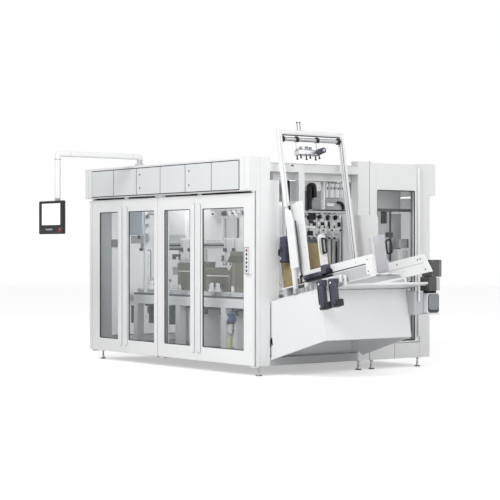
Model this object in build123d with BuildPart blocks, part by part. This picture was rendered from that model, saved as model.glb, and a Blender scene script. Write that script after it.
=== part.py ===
from build123d import *
from math import cos, radians, sin, tan
import os

os.makedirs("parts", exist_ok=True)

# Frame: the origin is the centre of the near front foot's underside. +X runs along the
# front towards the infeed end, +Y into the machine, +Z up. All sizes are in millimetres.

# machine body
body_length = 3359
body_depth = 2465
body_top = 2300
ground_clearance = 105
foot_inset_x = 45
foot_inset_y = 65
foot_inset_left = 144
module_depth = 1555
module_gap = 10
corner_post_x = 120
corner_post_y = 180
divide_post_y = 160
rear_post_y = 157
centre_post_w = 67

# sills, top frame and floor
sill_w = 80
sill_h = 95
floor_thick = 8
top_beam_h = 130
top_beam_w = 80
roof_drop = 55
roof_thick = 6
lintel_thick = 78
recess_lintel_h = 95

# levelling feet
pad_radius = 34
pad_thick = 14
pad_cone_h = 12
stem_radius = 11
nut_radius = 19
nut_h = 14
stem_fit = 4
divide_foot_front = 120
divide_foot_back = 60
rear_foot_inset = 150

# header boxes
header_bottom = 1942
front_overhang = 103
rear_overhang = 88
flap_side_left = 171
flap_side_right = 169
flap_foot = 12
flap_head = 38
flap_gap = 7
flap_thick = 6
flap_count = 6
lock_radius = 9
lock_proud = 4
lock_inset = 72

# front doors
leaf_bottom = 110
leaf_top = 1920
leaf_thick = 22
leaf_seal = 18
leaf_gap = 10
meeting_gap = 8
strip_w = 52
leaf_1_w = 729
leaf_2_w = 705
leaf_3_w = 720
window_foot = 152
window_head = 146
stiles_1 = (166, 136)
stiles_2 = (86, 58)
stiles_3 = (64, 129)
stiles_4 = (97, 173)
glass_thick = 5
glass_setback = 12
glass_fit = 0.3
bar_w = 44
bar_proud = 22
bar_rise = 90
bar_inset = 32

# pivots of the front doors
pivot_inset = 15
pivot_pin_radius = 6
pivot_clearance = 0.5
pivot_depth = 22
bracket_w = 42
bracket_h = 10
bracket_reach = 16

# button box on the fourth door
box_w = 90
box_h = 285
box_proud = 34
box_right_inset = 26
box_z = 1070
button_radius = 9
button_proud = 9
button_count = 6

# side door in the right end
side_door_gap = 10
side_door_bottom = 285
side_door_top = 2288
side_pivot_inset = 12
lug_thick = 5
side_stile = 108
side_stile_free = 55
side_window_foot = 14
side_window_top = 1992
side_bar_w = 34
side_bar_proud = 34
side_bar_low = 60
side_bar_high = 28

# closing panels of the right end
recess_panel_w = 120
recess_panel_z = (774, 2060)
plinth_thick = 12
plinth_seam = 8
plinth_split = 360
infeed_wall_top = 690
cover_inset = 381
cover_w = 75
cover_d = 10
cover_low = 1500
recess_sill_h = 85

# left end and rear wall
window_mid = 120
window_z = (262, 1774)
wall_thick = 30
rear_leaf_count = 4

# operator panel
boom_x = 2210
boom_y = 110
boom_pivot_radius = 56
boom_pivot_h = 22
boom_column_radius = 28
boom_z = 2400
boom_tube = 64
boom_edge = 14
boom_reach = 1080
drop_radius = 24
turn_gap = 0.3
panel_w = 550
panel_h = 386
panel_thick = 60
panel_top = 1870
panel_front = 85
screen_w = 420
screen_h = 240
screen_thick = 4
screen_above = 30
neck_w = 90

# machine bed and what stands on it
bed_end_left = 314
bed_end_right = 195
bed_setback = 395
bed_depth = 770
bed_top = 805
bed_beam_w = 90
bed_beam_h = 130
bed_leg_w = 90
bed_leg_count = 4
bed_plate = 12
rail_h = 42
rail_w = 36
slide_inset = 30
rail_gap = 20
lug_h = 70
lug_count = 8
cabinet_w = 290
cabinet_d = 330
cabinet_h = 430
cabinet_count = 3
cabinet_pitch = 640
cabinet_first = 230
cabinet_gap = 10
motor_radius = 62
motor_length = 210
motor_box = 150
bed_motor_steps = (190, 640)
station_column = 90
station_steps = (494, 1754, 2614)
station_setback = 945
carriage_z = 1330
carriage_h = 90
carriage_d = 160
hood_w = 640
hood_step = 200
head_steps = (420, 60)
head_d = 100
hood_h = 420
hood_d = 60
head_w = 260
head_h = 130
carton_inset = 110
carton_depth = 320
carton_wall = 6
carton_starts = (1114, 1703, 2209)
carton_lengths = (320, 481, 275)
cartons_h = (250, 205, 395)

# infeed head behind the opening
head_start = 305
head_end = 90
head_plate = 16
head_rail = 50
head_bars = (820, 1440, 1675, 2020)
finger_count = 6
finger_start = 330
finger_pitch = 70
finger_w = 26
finger_d = 40
finger_z = (1440, 1740)
chain_w = 46
chain_thick = 42
chain_radius = 55
chain_drop = 249
chain_setback = 654
chain_top = 2053
tray_h = 24
tray_start = 65

# magazine, tilted about Y at the foot of the infeed opening
tilt = 10
magazine_x = 21
magazine_z = 768
skirt_inset_near = 15
skirt_inset_far = 30
skirt_length = 844
skirt_depth = 510
skirt_sheet = 10
skirt_root_z = 165
skirt_cut_x = 153
skirt_cut_z = 174
skirt_cut_root = 246
table_overhang_near = 70
table_overhang_far = 90
table_start = 36
table_length = 1060
table_gap = 10
table_thick = 22
table_corner = 300
beam_inset_near = 108
beam_inset_far = 186
beam_thick = 24
beam_start = 475
beam_length = 1100
beam_h = 218
beam_joint = 12
beam_joint_rise = 128
beam_joint_depth = 8
far_beam_start = 530
far_beam_top = 1388
far_beam_low = 1482
far_beam_z = (84, 278)
feed_z = 140
feed_thick = 14
feed_end_inset = 56
bearer_x = (76, 535, 960)
bearer_w = 60
upright = 50
upright_x = 345
upright_near = 45
upright_gap = 20
portal_top = 1783
tie_rod_radius = 7
tie_rod_h = 100
tie_rod_step = 38
tie_rod_inset = 285
cross_radius = 22
cross_drop = 95
pick_w = 300
pick_h = 60
pick_d = 90
pick_hang = 92
pick_arm = 24
pick_inset = 240
pick_motor_radius = 32
pick_motor_length = 120
pick_motor_inset = 60
guide_x = (324, 555)
guide_z = (200, 985)
guide_thick = 14
far_guide_x = (590, 850)
far_guide_z = (200, 590)
lever_inset = 310
lever_w = 100
lever_x = 520
lever_h = 500
handle_w = 66
handle_h = 172
handle_bar = 15
handle_proud = 36
handle_z = 425
grip_w = 100
grip_h = 160
grip_z = 363
stack_x = (40, 320)
stack_inset = 170
stack_w = 440
stack_h = 440
sheet_setback = 108
sheet_root_x = 15
sheet_end_x = 490
sheet_z = (1170, 1700)
sheet_thick = 10

# gearmotors of the magazine; the steps are from the table's end and from the beam's foot end
feed_motor_radius = 44
feed_motor_length = 250
feed_motor_out = 138
feed_motor_steps = (-169, 14)
feed_motor_top = 42
feed_head_z = (34, 112)
feed_plate_steps = (-216, 84)
feed_plate_thick = 12
feed_spacer_w = 40
slope_motor_radius = 40
slope_motor_steps = (74, 562)
slope_motor_z = 185
slope_box_steps = (395, 552)
slope_box_z = (150, 235)
side_motor_radius = 52
side_motor_z = (1190, 1470)
side_motor_x = 75
side_motor_y = 132
side_arm_z = (1250, 1340)
side_arm_w = 10

# drive boxes, stepped from the far end of the table's far edge, and the housing below
drive_steps_x = (-210, -60)
drive_steps_y = ((102, 267), (73, 226), (43, 217))
drive_steps_z = ((72, 252), (-78, 72), (-328, -100))
drive_carrier_z = (-20, 2)
drive_carrier_w = 60
housing_steps_x = (-300, -115)
housing_steps_z = (-328, -80)

# places worked out from the sizes above
x_right = foot_inset_x
x_left = x_right - body_length
y_front = -foot_inset_y
y_rear = y_front + body_depth
y_divide = y_front + module_depth
leaf_back = y_front - leaf_seal
leaf_front = leaf_back - leaf_thick
sill_top = ground_clearance + sill_h
roof_top = body_top - roof_drop
roof_z = roof_top - roof_thick
top_beam_z = roof_top - top_beam_h
recess_y = (y_front + corner_post_y, y_divide - divide_post_y)
header_y = y_front - front_overhang
side_door_y = (y_divide + side_door_gap, y_rear - rear_post_y - side_door_gap)
leaf_1_x = x_left + strip_w + leaf_gap
leaf_2_x = leaf_1_x + leaf_1_w + meeting_gap
centre_post_x = leaf_2_x + leaf_2_w + leaf_gap
leaf_3_x = centre_post_x + centre_post_w + leaf_gap
leaf_4_x = leaf_3_x + leaf_3_w + meeting_gap
leaf_4_w = x_right - leaf_4_x
boom_at_x = x_right - boom_x
boom_at_y = -boom_y
panel_x = (boom_at_x - panel_w / 2, boom_at_x + panel_w / 2)
drop_y = boom_at_y - boom_reach
bed_x = (x_left + bed_end_left, x_right - bed_end_right)
bed_y = (y_front + bed_setback, y_front + bed_setback + bed_depth)
station_x = [x_left + step for step in station_steps]
station_y = y_front + station_setback
carton_y = (bed_y[0] + carton_inset, bed_y[0] + carton_inset + carton_depth)
head_x = bed_x[1]
head_y = (recess_y[0] + head_start, recess_y[1] - head_end)
chain_y = recess_y[0] + chain_setback
skirt_y = (recess_y[0] + skirt_inset_near, recess_y[1] - skirt_inset_far)
table_y = (skirt_y[0] + table_overhang_near, skirt_y[1] + table_overhang_far)
table_end = table_start + table_length
table_top = table_gap + table_thick
beam_y = (skirt_y[0] + beam_inset_near, skirt_y[1] - beam_inset_far)
beam_inner_y = (beam_y[0] + beam_thick, beam_y[1] - beam_thick)
beam_end = beam_start + beam_length
upright_y = (skirt_y[0] + upright_near, beam_inner_y[1] - upright_gap - upright)
slope = radians(tilt)
magazine = Plane(
    origin=(magazine_x, 0, magazine_z),
    x_dir=(cos(slope), 0, sin(slope)),
    z_dir=(-sin(slope), 0, cos(slope)),
)


def block(x, y, z, mode=Mode.ADD):
    # a box given by its low and high place along each axis
    with Locations(((x[0] + x[1]) / 2, (y[0] + y[1]) / 2, (z[0] + z[1]) / 2)):
        Box(x[1] - x[0], y[1] - y[0], z[1] - z[0], mode=mode)


def post(x, y, z, radius, mode=Mode.ADD):
    # an upright cylinder at x, y between two heights
    with Locations((x, y, (z[0] + z[1]) / 2)):
        Cylinder(radius, z[1] - z[0], mode=mode)


def on_slope(x, z):
    # the X and Z of a place given along the magazine's slope and square to it
    return (
        magazine_x + x * cos(slope) - z * sin(slope),
        magazine_z + x * sin(slope) + z * cos(slope),
    )


def shaft_y(x, y, z, radius, mode=Mode.ADD):
    # a cylinder along Y between two places
    with Locations(Location((x, (y[0] + y[1]) / 2, z), (90, 0, 0))):
        Cylinder(radius, y[1] - y[0], mode=mode)


def shaft_x(x, y, z, radius, mode=Mode.ADD):
    # a cylinder along X between two places
    with Locations(Location(((x[0] + x[1]) / 2, y, z), (0, 90, 0))):
        Cylinder(radius, x[1] - x[0], mode=mode)


# base frame: two rings of sill tube, one under each module, with the floor tray between the sills
with BuildPart() as base_frame:
    z_sill = (ground_clearance, sill_top)
    for y in (y_front, y_divide - sill_w, y_divide + module_gap, y_rear - sill_w):
        block((x_left + corner_post_x, x_right - corner_post_x), (y, y + sill_w), z_sill)
    for x in (x_left + corner_post_x, x_right - corner_post_x - sill_w):
        block((x, x + sill_w), (y_front, y_rear), z_sill)
    x_floor = (x_left + corner_post_x + sill_w, x_right - corner_post_x - sill_w)
    for y in ((y_front, y_divide), (y_divide + module_gap, y_rear)):
        block(x_floor, (y[0] + sill_w, y[1] - sill_w), (sill_top - floor_thick, sill_top))
    block((x_right - sill_w, x_right), recess_y, (ground_clearance, ground_clearance + recess_sill_h))
base_frame.part.label = "base_frame"
export_step(base_frame.part, "parts/base_frame.step")

# posts: at each end a front corner, a divide and a rear corner post, and the front's centre post
with BuildPart() as frame_posts:
    for x in ((x_left, x_left + corner_post_x), (x_right - corner_post_x, x_right)):
        block(x, (y_front, y_front + corner_post_y), (ground_clearance, body_top))
        block(x, (y_divide - divide_post_y, y_divide), (ground_clearance, body_top))
        block(x, (y_rear - rear_post_y, y_rear), (ground_clearance, body_top))
    block((x_left, x_left + strip_w), (leaf_front, y_front), (leaf_bottom, leaf_top))
    centre_post = (centre_post_x, centre_post_x + centre_post_w)
    block(centre_post, (leaf_front + leaf_gap, y_front), (leaf_bottom, header_bottom))
    block(centre_post, (y_front, y_front + sill_w), (sill_top, top_beam_z))
frame_posts.part.label = "frame_posts"
export_step(frame_posts.part, "parts/frame_posts.step")

# top frame: beams between the posts, the lintel over the infeed opening and the roof sheet
with BuildPart() as top_frame:
    z_beam = (top_beam_z, roof_z)
    x_beam = (x_left + corner_post_x, x_right - corner_post_x)
    z_roof = (roof_z, roof_top)
    for y in (y_front, y_divide - top_beam_w, y_rear - top_beam_w):
        block(x_beam, (y, y + top_beam_w), z_beam)
    block((x_left, x_left + top_beam_w), recess_y, z_beam)
    block((x_right - lintel_thick, x_right), recess_y, (roof_top - recess_lintel_h, roof_z))
    block(x_beam, (y_front, y_rear), z_roof)
    block((x_left, x_beam[0]), recess_y, z_roof)
    block((x_beam[1], x_right), recess_y, z_roof)
    block((x_left, x_beam[0]), (y_divide, y_rear - rear_post_y), z_roof)
    block((x_beam[1], x_right - 2 * leaf_thick), (y_divide, y_rear - rear_post_y), z_roof)
top_frame.part.label = "top_frame"
export_step(top_frame.part, "parts/top_frame.step")

# levelling feet
with BuildPart() as levelling_feet:
    for x in (0, x_left + foot_inset_left):
        for y in (
            0,
            y_divide - divide_foot_front,
            y_divide + module_gap + divide_foot_back,
            y_rear - rear_foot_inset,
        ):
            post(x, y, (0, pad_thick), pad_radius)
            with Locations((x, y, pad_thick + pad_cone_h / 2)):
                Cone(pad_radius, stem_radius + stem_fit, pad_cone_h)
            post(x, y, (pad_thick, ground_clearance), stem_radius)
            post(x, y, (ground_clearance - nut_h, ground_clearance), nut_radius)
levelling_feet.part.label = "levelling_feet"
export_step(levelling_feet.part, "parts/levelling_feet.step")

# header boxes along the front and the rear
with BuildPart() as header_boxes:
    block((x_left, x_right), (header_y, y_front), (header_bottom, body_top))
    block((x_left, x_right), (y_rear, y_rear + rear_overhang), (header_bottom, body_top))
header_boxes.part.label = "header_boxes"
export_step(header_boxes.part, "parts/header_boxes.step")

# flap panels on the headers, six along each, with two locks on the third and the fifth
flap_x0 = x_left + flap_side_left
flap_span = body_length - flap_side_left - flap_side_right
flap_pitch = (flap_span + flap_gap) / flap_count
flap_z = (header_bottom + flap_foot, body_top - flap_head)
with BuildPart() as header_flaps:
    for side, y in ((-1, header_y), (1, y_rear + rear_overhang)):
        face = (y - flap_thick, y) if side < 0 else (y, y + flap_thick)
        lock = (face[0] - lock_proud, face[0]) if side < 0 else (face[1], face[1] + lock_proud)
        for i in range(flap_count):
            x = flap_x0 + i * flap_pitch
            block((x, x + flap_pitch - flap_gap), face, flap_z)
            if i in (2, 4):
                for z in (flap_z[0] + lock_inset, flap_z[1] - lock_inset):
                    shaft_y(x + lock_inset, lock, z, lock_radius)
header_flaps.part.label = "header_flaps"
export_step(header_flaps.part, "parts/header_flaps.step")

# pivots: a bracket and a pin above and below each front leaf, and two pins for the side door
pivots = (
    (leaf_1_x + pivot_inset, -1),
    (leaf_2_x + leaf_2_w - pivot_inset, 1),
    (leaf_3_x + pivot_inset, -1),
    (x_right - pivot_inset, 1),
)
pivot_y = (leaf_front + leaf_back) / 2
side_face = (x_right - leaf_thick, x_right)
side_pivot = (x_right - leaf_thick / 2, side_door_y[0] + side_pivot_inset)
with BuildPart() as door_pivots:
    for x, side in pivots:
        low = x - pivot_inset if side < 0 else x + pivot_inset - bracket_w
        wide = (low, low + bracket_w)
        block(wide, (leaf_front, y_front + sill_w / 2), (ground_clearance - bracket_h, ground_clearance))
        post(x, pivot_y, (ground_clearance, leaf_bottom + pivot_depth), pivot_pin_radius)
        block(wide, (leaf_front, leaf_back), (header_bottom - bracket_reach, header_bottom))
        post(x, pivot_y, (leaf_top - pivot_depth, header_bottom - bracket_reach), pivot_pin_radius)
    for z in (
        (side_door_bottom - side_door_gap, side_door_bottom + pivot_depth),
        (side_door_top - pivot_depth, body_top - lug_thick),
    ):
        post(side_pivot[0], side_pivot[1], z, pivot_pin_radius)
    block(
        (side_face[0], side_face[1]),
        (y_divide, side_pivot[1] + side_pivot_inset),
        (body_top - lug_thick, body_top),
    )
door_pivots.part.label = "door_pivots"
export_step(door_pivots.part, "parts/door_pivots.step")

# front doors: a leaf with its window and grip bar, and its pane
leaves = (
    (leaf_1_x, leaf_1_w, stiles_1, 1, pivots[0][0]),
    (leaf_2_x, leaf_2_w, stiles_2, -1, pivots[1][0]),
    (leaf_3_x, leaf_3_w, stiles_3, 1, pivots[2][0]),
    (leaf_4_x, leaf_4_w, stiles_4, -1, pivots[3][0]),
)
pane_z = (leaf_bottom + window_foot, leaf_top - window_head)
for n, (x, w, stiles, free_side, pivot_x) in enumerate(leaves, start=1):
    pane_x = (x + stiles[0], x + w - stiles[1])
    pane_y = (leaf_front + glass_setback, leaf_front + glass_setback + glass_thick)
    with BuildPart() as leaf:
        block((x, x + w), (leaf_front, leaf_back), (leaf_bottom, leaf_top))
        block(pane_x, (leaf_front, leaf_back), pane_z, mode=Mode.SUBTRACT)
        free = x + w - bar_inset - bar_w if free_side > 0 else x + bar_inset
        bar_z = (leaf_bottom + bar_rise, leaf_top - bar_rise)
        block((free, free + bar_w), (leaf_front - bar_proud, leaf_front), bar_z)
        for z in ((leaf_bottom, leaf_bottom + pivot_depth + 2), (leaf_top - pivot_depth - 2, leaf_top)):
            post(pivot_x, pivot_y, z, pivot_pin_radius + pivot_clearance, mode=Mode.SUBTRACT)
    leaf.part.label = f"front_door_{n}"
    export_step(leaf.part, f"parts/front_door_{n}.step")
    with BuildPart() as pane:
        block(
            (pane_x[0] + glass_fit, pane_x[1] - glass_fit),
            pane_y,
            (pane_z[0] + glass_fit, pane_z[1] - glass_fit),
        )
    pane.part.label = f"front_glass_{n}"
    export_step(pane.part, f"parts/front_glass_{n}.step")

# button box on the fourth door's right stile
button_pitch = box_h / (button_count + 0.6)
with BuildPart() as button_box:
    box_x = (x_right - box_right_inset - box_w, x_right - box_right_inset)
    block(box_x, (leaf_front - box_proud, leaf_front), (box_z, box_z + box_h))
    for i in range(button_count):
        shaft_y(
            (box_x[0] + box_x[1]) / 2,
            (leaf_front - box_proud - button_proud, leaf_front - box_proud),
            box_z + button_pitch * (i + 0.8),
            button_radius,
        )
button_box.part.label = "button_box"
export_step(button_box.part, "parts/button_box.step")

# side door of the second module, hinged at the divide post
side_pane_y = (side_door_y[0] + side_stile, side_door_y[1] - side_stile_free)
side_pane_z = (side_door_bottom + side_window_foot, side_window_top)
with BuildPart() as side_door:
    block(side_face, side_door_y, (side_door_bottom, side_door_top))
    block(side_face, side_pane_y, side_pane_z, mode=Mode.SUBTRACT)
    block(
        (x_right, x_right + side_bar_proud),
        (side_door_y[1] - side_bar_w, side_door_y[1]),
        (side_door_bottom + side_bar_low, side_door_top - side_bar_high),
    )
    for z in (
        (side_door_bottom, side_door_bottom + pivot_depth + 2),
        (side_door_top - pivot_depth - 2, side_door_top),
    ):
        post(side_pivot[0], side_pivot[1], z, pivot_pin_radius + pivot_clearance, mode=Mode.SUBTRACT)
side_door.part.label = "side_door"
export_step(side_door.part, "parts/side_door.step")

with BuildPart() as side_glass:
    block(
        (x_right - glass_setback - glass_thick, x_right - glass_setback),
        (side_pane_y[0] + glass_fit, side_pane_y[1] - glass_fit),
        (side_pane_z[0] + glass_fit, side_pane_z[1] - glass_fit),
    )
side_glass.part.label = "side_glass"
export_step(side_glass.part, "parts/side_glass.step")

# closing panels of the right end: beside, below and over the infeed opening, and the plinth
with BuildPart() as end_panels:
    block(
        (x_right - plinth_thick, x_right),
        (recess_y[0], recess_y[0] + recess_panel_w),
        recess_panel_z,
    )
    block(
        (x_right - corner_post_x, x_right - corner_post_x + plinth_thick),
        recess_y,
        (ground_clearance + recess_sill_h, infeed_wall_top),
    )
    cover_y = recess_y[0] + cover_inset
    block((x_right, x_right + cover_d), (cover_y, cover_y + cover_w), (cover_low, roof_z))
    plinth_y = (y_divide + module_gap, y_rear - rear_post_y)
    split = plinth_y[0] + plinth_split
    for y in ((plinth_y[0], split), (split + plinth_seam, plinth_y[1])):
        block(
            (x_right - plinth_thick, x_right),
            y,
            (ground_clearance, side_door_bottom - side_door_gap),
        )
    block(
        (x_right - corner_post_x, x_right - plinth_thick),
        plinth_y,
        (ground_clearance, side_door_bottom - side_door_gap),
    )
end_panels.part.label = "end_panels"
export_step(end_panels.part, "parts/end_panels.step")

# left end wall, with two windows beside the posts
left_wall = (x_left, x_left + wall_thick)
left_bays = (recess_y, (y_divide, y_rear - rear_post_y))
with BuildPart() as left_end_wall:
    for bay in left_bays:
        block(left_wall, bay, (ground_clearance, top_beam_z if bay == left_bays[0] else roof_z))
        block(left_wall, (bay[0] + window_mid, bay[1] - window_mid), window_z, mode=Mode.SUBTRACT)
left_end_wall.part.label = "left_end_wall"
export_step(left_end_wall.part, "parts/left_end_wall.step")

# rear doors, plain repeats of the front ones, shut and without a joint
rear_span = body_length - 2 * corner_post_x
rear_pitch = (rear_span + meeting_gap) / rear_leaf_count
rear_x0 = x_left + corner_post_x
with BuildPart() as rear_doors:
    for i in range(rear_leaf_count):
        x = rear_x0 + i * rear_pitch
        block((x, x + rear_pitch - meeting_gap), (y_rear, y_rear + leaf_thick), (leaf_bottom, leaf_top))
        block(
            (x + stiles_4[0], x + rear_pitch - meeting_gap - stiles_4[0]),
            (y_rear, y_rear + leaf_thick),
            pane_z,
            mode=Mode.SUBTRACT,
        )
rear_doors.part.label = "rear_doors"
export_step(rear_doors.part, "parts/rear_doors.step")

# fixed panes of the left end and the rear
with BuildPart() as fixed_panes:
    for bay in left_bays:
        block(
            (x_left + glass_setback, x_left + glass_setback + glass_thick),
            (bay[0] + window_mid + glass_fit, bay[1] - window_mid - glass_fit),
            (window_z[0] + glass_fit, window_z[1] - glass_fit),
        )
    for i in range(rear_leaf_count):
        x = rear_x0 + i * rear_pitch
        block(
            (x + stiles_4[0] + glass_fit, x + rear_pitch - meeting_gap - stiles_4[0] - glass_fit),
            (y_rear + leaf_thick - glass_setback, y_rear + leaf_thick - glass_setback + glass_thick),
            (pane_z[0] + glass_fit, pane_z[1] - glass_fit),
        )
fixed_panes.part.label = "fixed_panes"
export_step(fixed_panes.part, "parts/fixed_panes.step")

# operator panel: pivot flange on the front header's roof
with BuildPart() as boom_pivot:
    post(boom_at_x, boom_at_y, (body_top, body_top + boom_pivot_h), boom_pivot_radius)
boom_pivot.part.label = "boom_pivot"
export_step(boom_pivot.part, "parts/boom_pivot.step")

# boom: column on the pivot, square tube out to the front, and the drop tube
with BuildPart() as panel_boom:
    with Locations((boom_at_x, (boom_at_y + drop_y) / 2, boom_z)):
        Box(boom_tube, boom_reach + boom_tube, boom_tube)
    fillet(panel_boom.edges().filter_by(Axis.Y), boom_edge)
    post(boom_at_x, boom_at_y, (body_top + boom_pivot_h + turn_gap, boom_z), boom_column_radius)
    post(boom_at_x, drop_y, (panel_top + turn_gap, boom_z), drop_radius)
panel_boom.part.label = "panel_boom"
export_step(panel_boom.part, "parts/panel_boom.step")

# operator panel: housing turned by a neck behind it, and its screen
panel_y = (drop_y - panel_front, drop_y - panel_front + panel_thick)
with BuildPart() as operator_panel:
    block(panel_x, panel_y, (panel_top - panel_h, panel_top))
    block(
        (boom_at_x - neck_w / 2, boom_at_x + neck_w / 2),
        (panel_y[1], drop_y + drop_radius),
        (panel_top - neck_w, panel_top),
    )
operator_panel.part.label = "operator_panel"
export_step(operator_panel.part, "parts/operator_panel.step")

with BuildPart() as panel_screen:
    block(
        (boom_at_x - screen_w / 2, boom_at_x + screen_w / 2),
        (panel_y[0] - screen_thick, panel_y[0]),
        (panel_top - screen_above - screen_h, panel_top - screen_above),
    )
panel_screen.part.label = "panel_screen"
export_step(panel_screen.part, "parts/panel_screen.step")

# machine bed: two long beams on legs, with a top plate and two slide bars under the cartons
bed_step = (bed_x[1] - bed_x[0] - bed_leg_w) / (bed_leg_count - 1)
with BuildPart() as machine_bed:
    for y in (bed_y[0], bed_y[1] - bed_beam_w):
        block(bed_x, (y, y + bed_beam_w), (bed_top - bed_beam_h, bed_top))
        for i in range(bed_leg_count):
            x = bed_x[0] + i * bed_step
            block((x, x + bed_leg_w), (y, y + bed_leg_w), (sill_top, bed_top - bed_beam_h))
    block(bed_x, bed_y, (bed_top - bed_plate, bed_top))
    for y in (carton_y[0] + slide_inset, carton_y[1] - slide_inset - rail_w):
        block(bed_x, (y, y + rail_w), (bed_top, bed_top + rail_h))
machine_bed.part.label = "machine_bed"
export_step(machine_bed.part, "parts/machine_bed.step")

rail_y = (carton_y[0] - rail_w - rail_gap, carton_y[1] + rail_gap)
with BuildPart() as transport_chains:
    for y in rail_y:
        block(bed_x, (y, y + rail_w), (bed_top, bed_top + rail_h))
        for i in range(lug_count):
            x = bed_x[0] + (i + 0.5) * (bed_x[1] - bed_x[0]) / lug_count
            block((x, x + rail_w), (y, y + rail_w), (bed_top + rail_h, bed_top + rail_h + lug_h))
transport_chains.part.label = "transport_chains"
export_step(transport_chains.part, "parts/transport_chains.step")

# cabinets under the bed
with BuildPart() as bed_cabinets:
    for i in range(cabinet_count):
        x = bed_x[1] - cabinet_first - i * cabinet_pitch
        y = bed_y[0] + bed_beam_w + cabinet_gap
        block((x - cabinet_w, x), (y, y + cabinet_d), (sill_top, sill_top + cabinet_h))
bed_cabinets.part.label = "bed_cabinets"
export_step(bed_cabinets.part, "parts/bed_cabinets.step")

# fold station: columns behind the line, a carriage beam with two heads, and the hood over it
with BuildPart() as fold_station:
    for x in station_x:
        block(
            (x, x + station_column),
            (station_y, station_y + station_column),
            (bed_top, roof_z),
        )
    block(
        (station_x[0], station_x[-1] + station_column),
        (station_y - carriage_d, station_y),
        (carriage_z, carriage_z + carriage_h),
    )
    for x, step in zip(station_x, head_steps):
        block(
            (x + step, x + step + head_w),
            (station_y - carriage_d - head_d, station_y - carriage_d),
            (carriage_z - head_h, carriage_z + head_h),
        )
    block(
        (station_x[1] + hood_step, station_x[1] + hood_step + hood_w),
        (station_y - hood_d, station_y),
        (carriage_z + carriage_h, carriage_z + carriage_h + hood_h),
    )
fold_station.part.label = "fold_station"
export_step(fold_station.part, "parts/fold_station.step")

# cartons on the line, open at the top
carton_z = bed_top + rail_h
with BuildPart() as cartons:
    for start, length, h in zip(carton_starts, carton_lengths, cartons_h):
        x = x_left + start
        block((x, x + length), carton_y, (carton_z, carton_z + h))
        block(
            (x + carton_wall, x + length - carton_wall),
            (carton_y[0] + carton_wall, carton_y[1] - carton_wall),
            (carton_z + carton_wall, carton_z + h),
            mode=Mode.SUBTRACT,
        )
cartons.part.label = "cartons"
export_step(cartons.part, "parts/cartons.step")

# infeed head: a plate frame behind the opening
with BuildPart() as infeed_head:
    for y in (head_y[0], head_y[1] - head_rail):
        block((head_x, head_x + head_rail), (y, y + head_rail), (sill_top, roof_z))
    for z in head_bars:
        block((head_x, head_x + head_plate), head_y, (z, z + head_rail))
    for i in range(finger_count):
        y = head_y[0] + finger_start + i * finger_pitch
        block((head_x + head_plate, head_x + head_plate + finger_d), (y, y + finger_w), finger_z)
infeed_head.part.label = "infeed_head"
export_step(infeed_head.part, "parts/infeed_head.step")

# cable chain: an upside-down U in front of the infeed head
with BuildPart() as cable_chain:
    x_chain = head_x + head_plate + finger_d
    with BuildSketch(Plane.YZ.offset(x_chain)) as loop:
        with Locations((chain_y, chain_top - chain_radius)):
            Circle(chain_radius)
            Circle(chain_radius - chain_thick, mode=Mode.SUBTRACT)
            with Locations((0, -chain_radius / 2)):
                Rectangle(2 * chain_radius, chain_radius, mode=Mode.SUBTRACT)
        for side, drop in ((-1, chain_drop), (1, chain_drop / 2)):
            leg_y = chain_y + side * (chain_radius - chain_thick / 2)
            with Locations((leg_y, chain_top - chain_radius - drop / 2)):
                Rectangle(chain_thick, drop)
    extrude(amount=chain_w)
    tray_top = chain_top - chain_radius - chain_drop
    block(
        (x_chain, x_chain + chain_w),
        (chain_y - tray_start, head_y[1]),
        (tray_top - tray_h, tray_top),
    )
cable_chain.part.label = "cable_chain"
export_step(cable_chain.part, "parts/cable_chain.step")

# magazine skirt: near and far side sheets and the end sheet, folded from one plate; the far
# sheet is cut away at its foot
near_sheet = (
    (x_right, on_slope(0, table_gap)[1] + (x_right - on_slope(0, table_gap)[0]) * tan(slope)),
    on_slope(skirt_length, table_gap),
    on_slope(skirt_length, -skirt_depth),
    (x_right, skirt_root_z),
)
far_sheet = near_sheet[:3] + ((skirt_cut_x, skirt_cut_z), (x_right, skirt_cut_root))
end_sheet = (
    on_slope(skirt_length - skirt_sheet, 0),
    on_slope(skirt_length, 0),
    on_slope(skirt_length, -skirt_depth),
    on_slope(skirt_length - skirt_sheet, -skirt_depth),
)
with BuildPart() as magazine_skirt:
    for outline, y in (
        (near_sheet, (skirt_y[0], skirt_y[0] + skirt_sheet)),
        (far_sheet, (skirt_y[1] - skirt_sheet, skirt_y[1])),
        (end_sheet, skirt_y),
    ):
        with BuildSketch(Plane.XZ.offset(-y[1])):
            Polygon(*outline, align=None)
        extrude(amount=y[1] - y[0])
magazine_skirt.part.label = "magazine_skirt"
export_step(magazine_skirt.part, "parts/magazine_skirt.step")

# magazine table: a sheet on the skirt's side sheets, its near end corner rounded
with BuildPart(magazine) as magazine_table:
    block((table_start, table_end), table_y, (table_gap, table_top))
    corner = magazine_table.edges().filter_by(lambda e: abs(e.tangent_at(0).dot(magazine.z_dir)) > 0.99)
    near_end = corner.sort_by(Axis.X)[-2:].sort_by(Axis.Y)[0]
    fillet(near_end, table_corner)
magazine_table.part.label = "magazine_table"
export_step(magazine_table.part, "parts/magazine_table.step")

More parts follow.
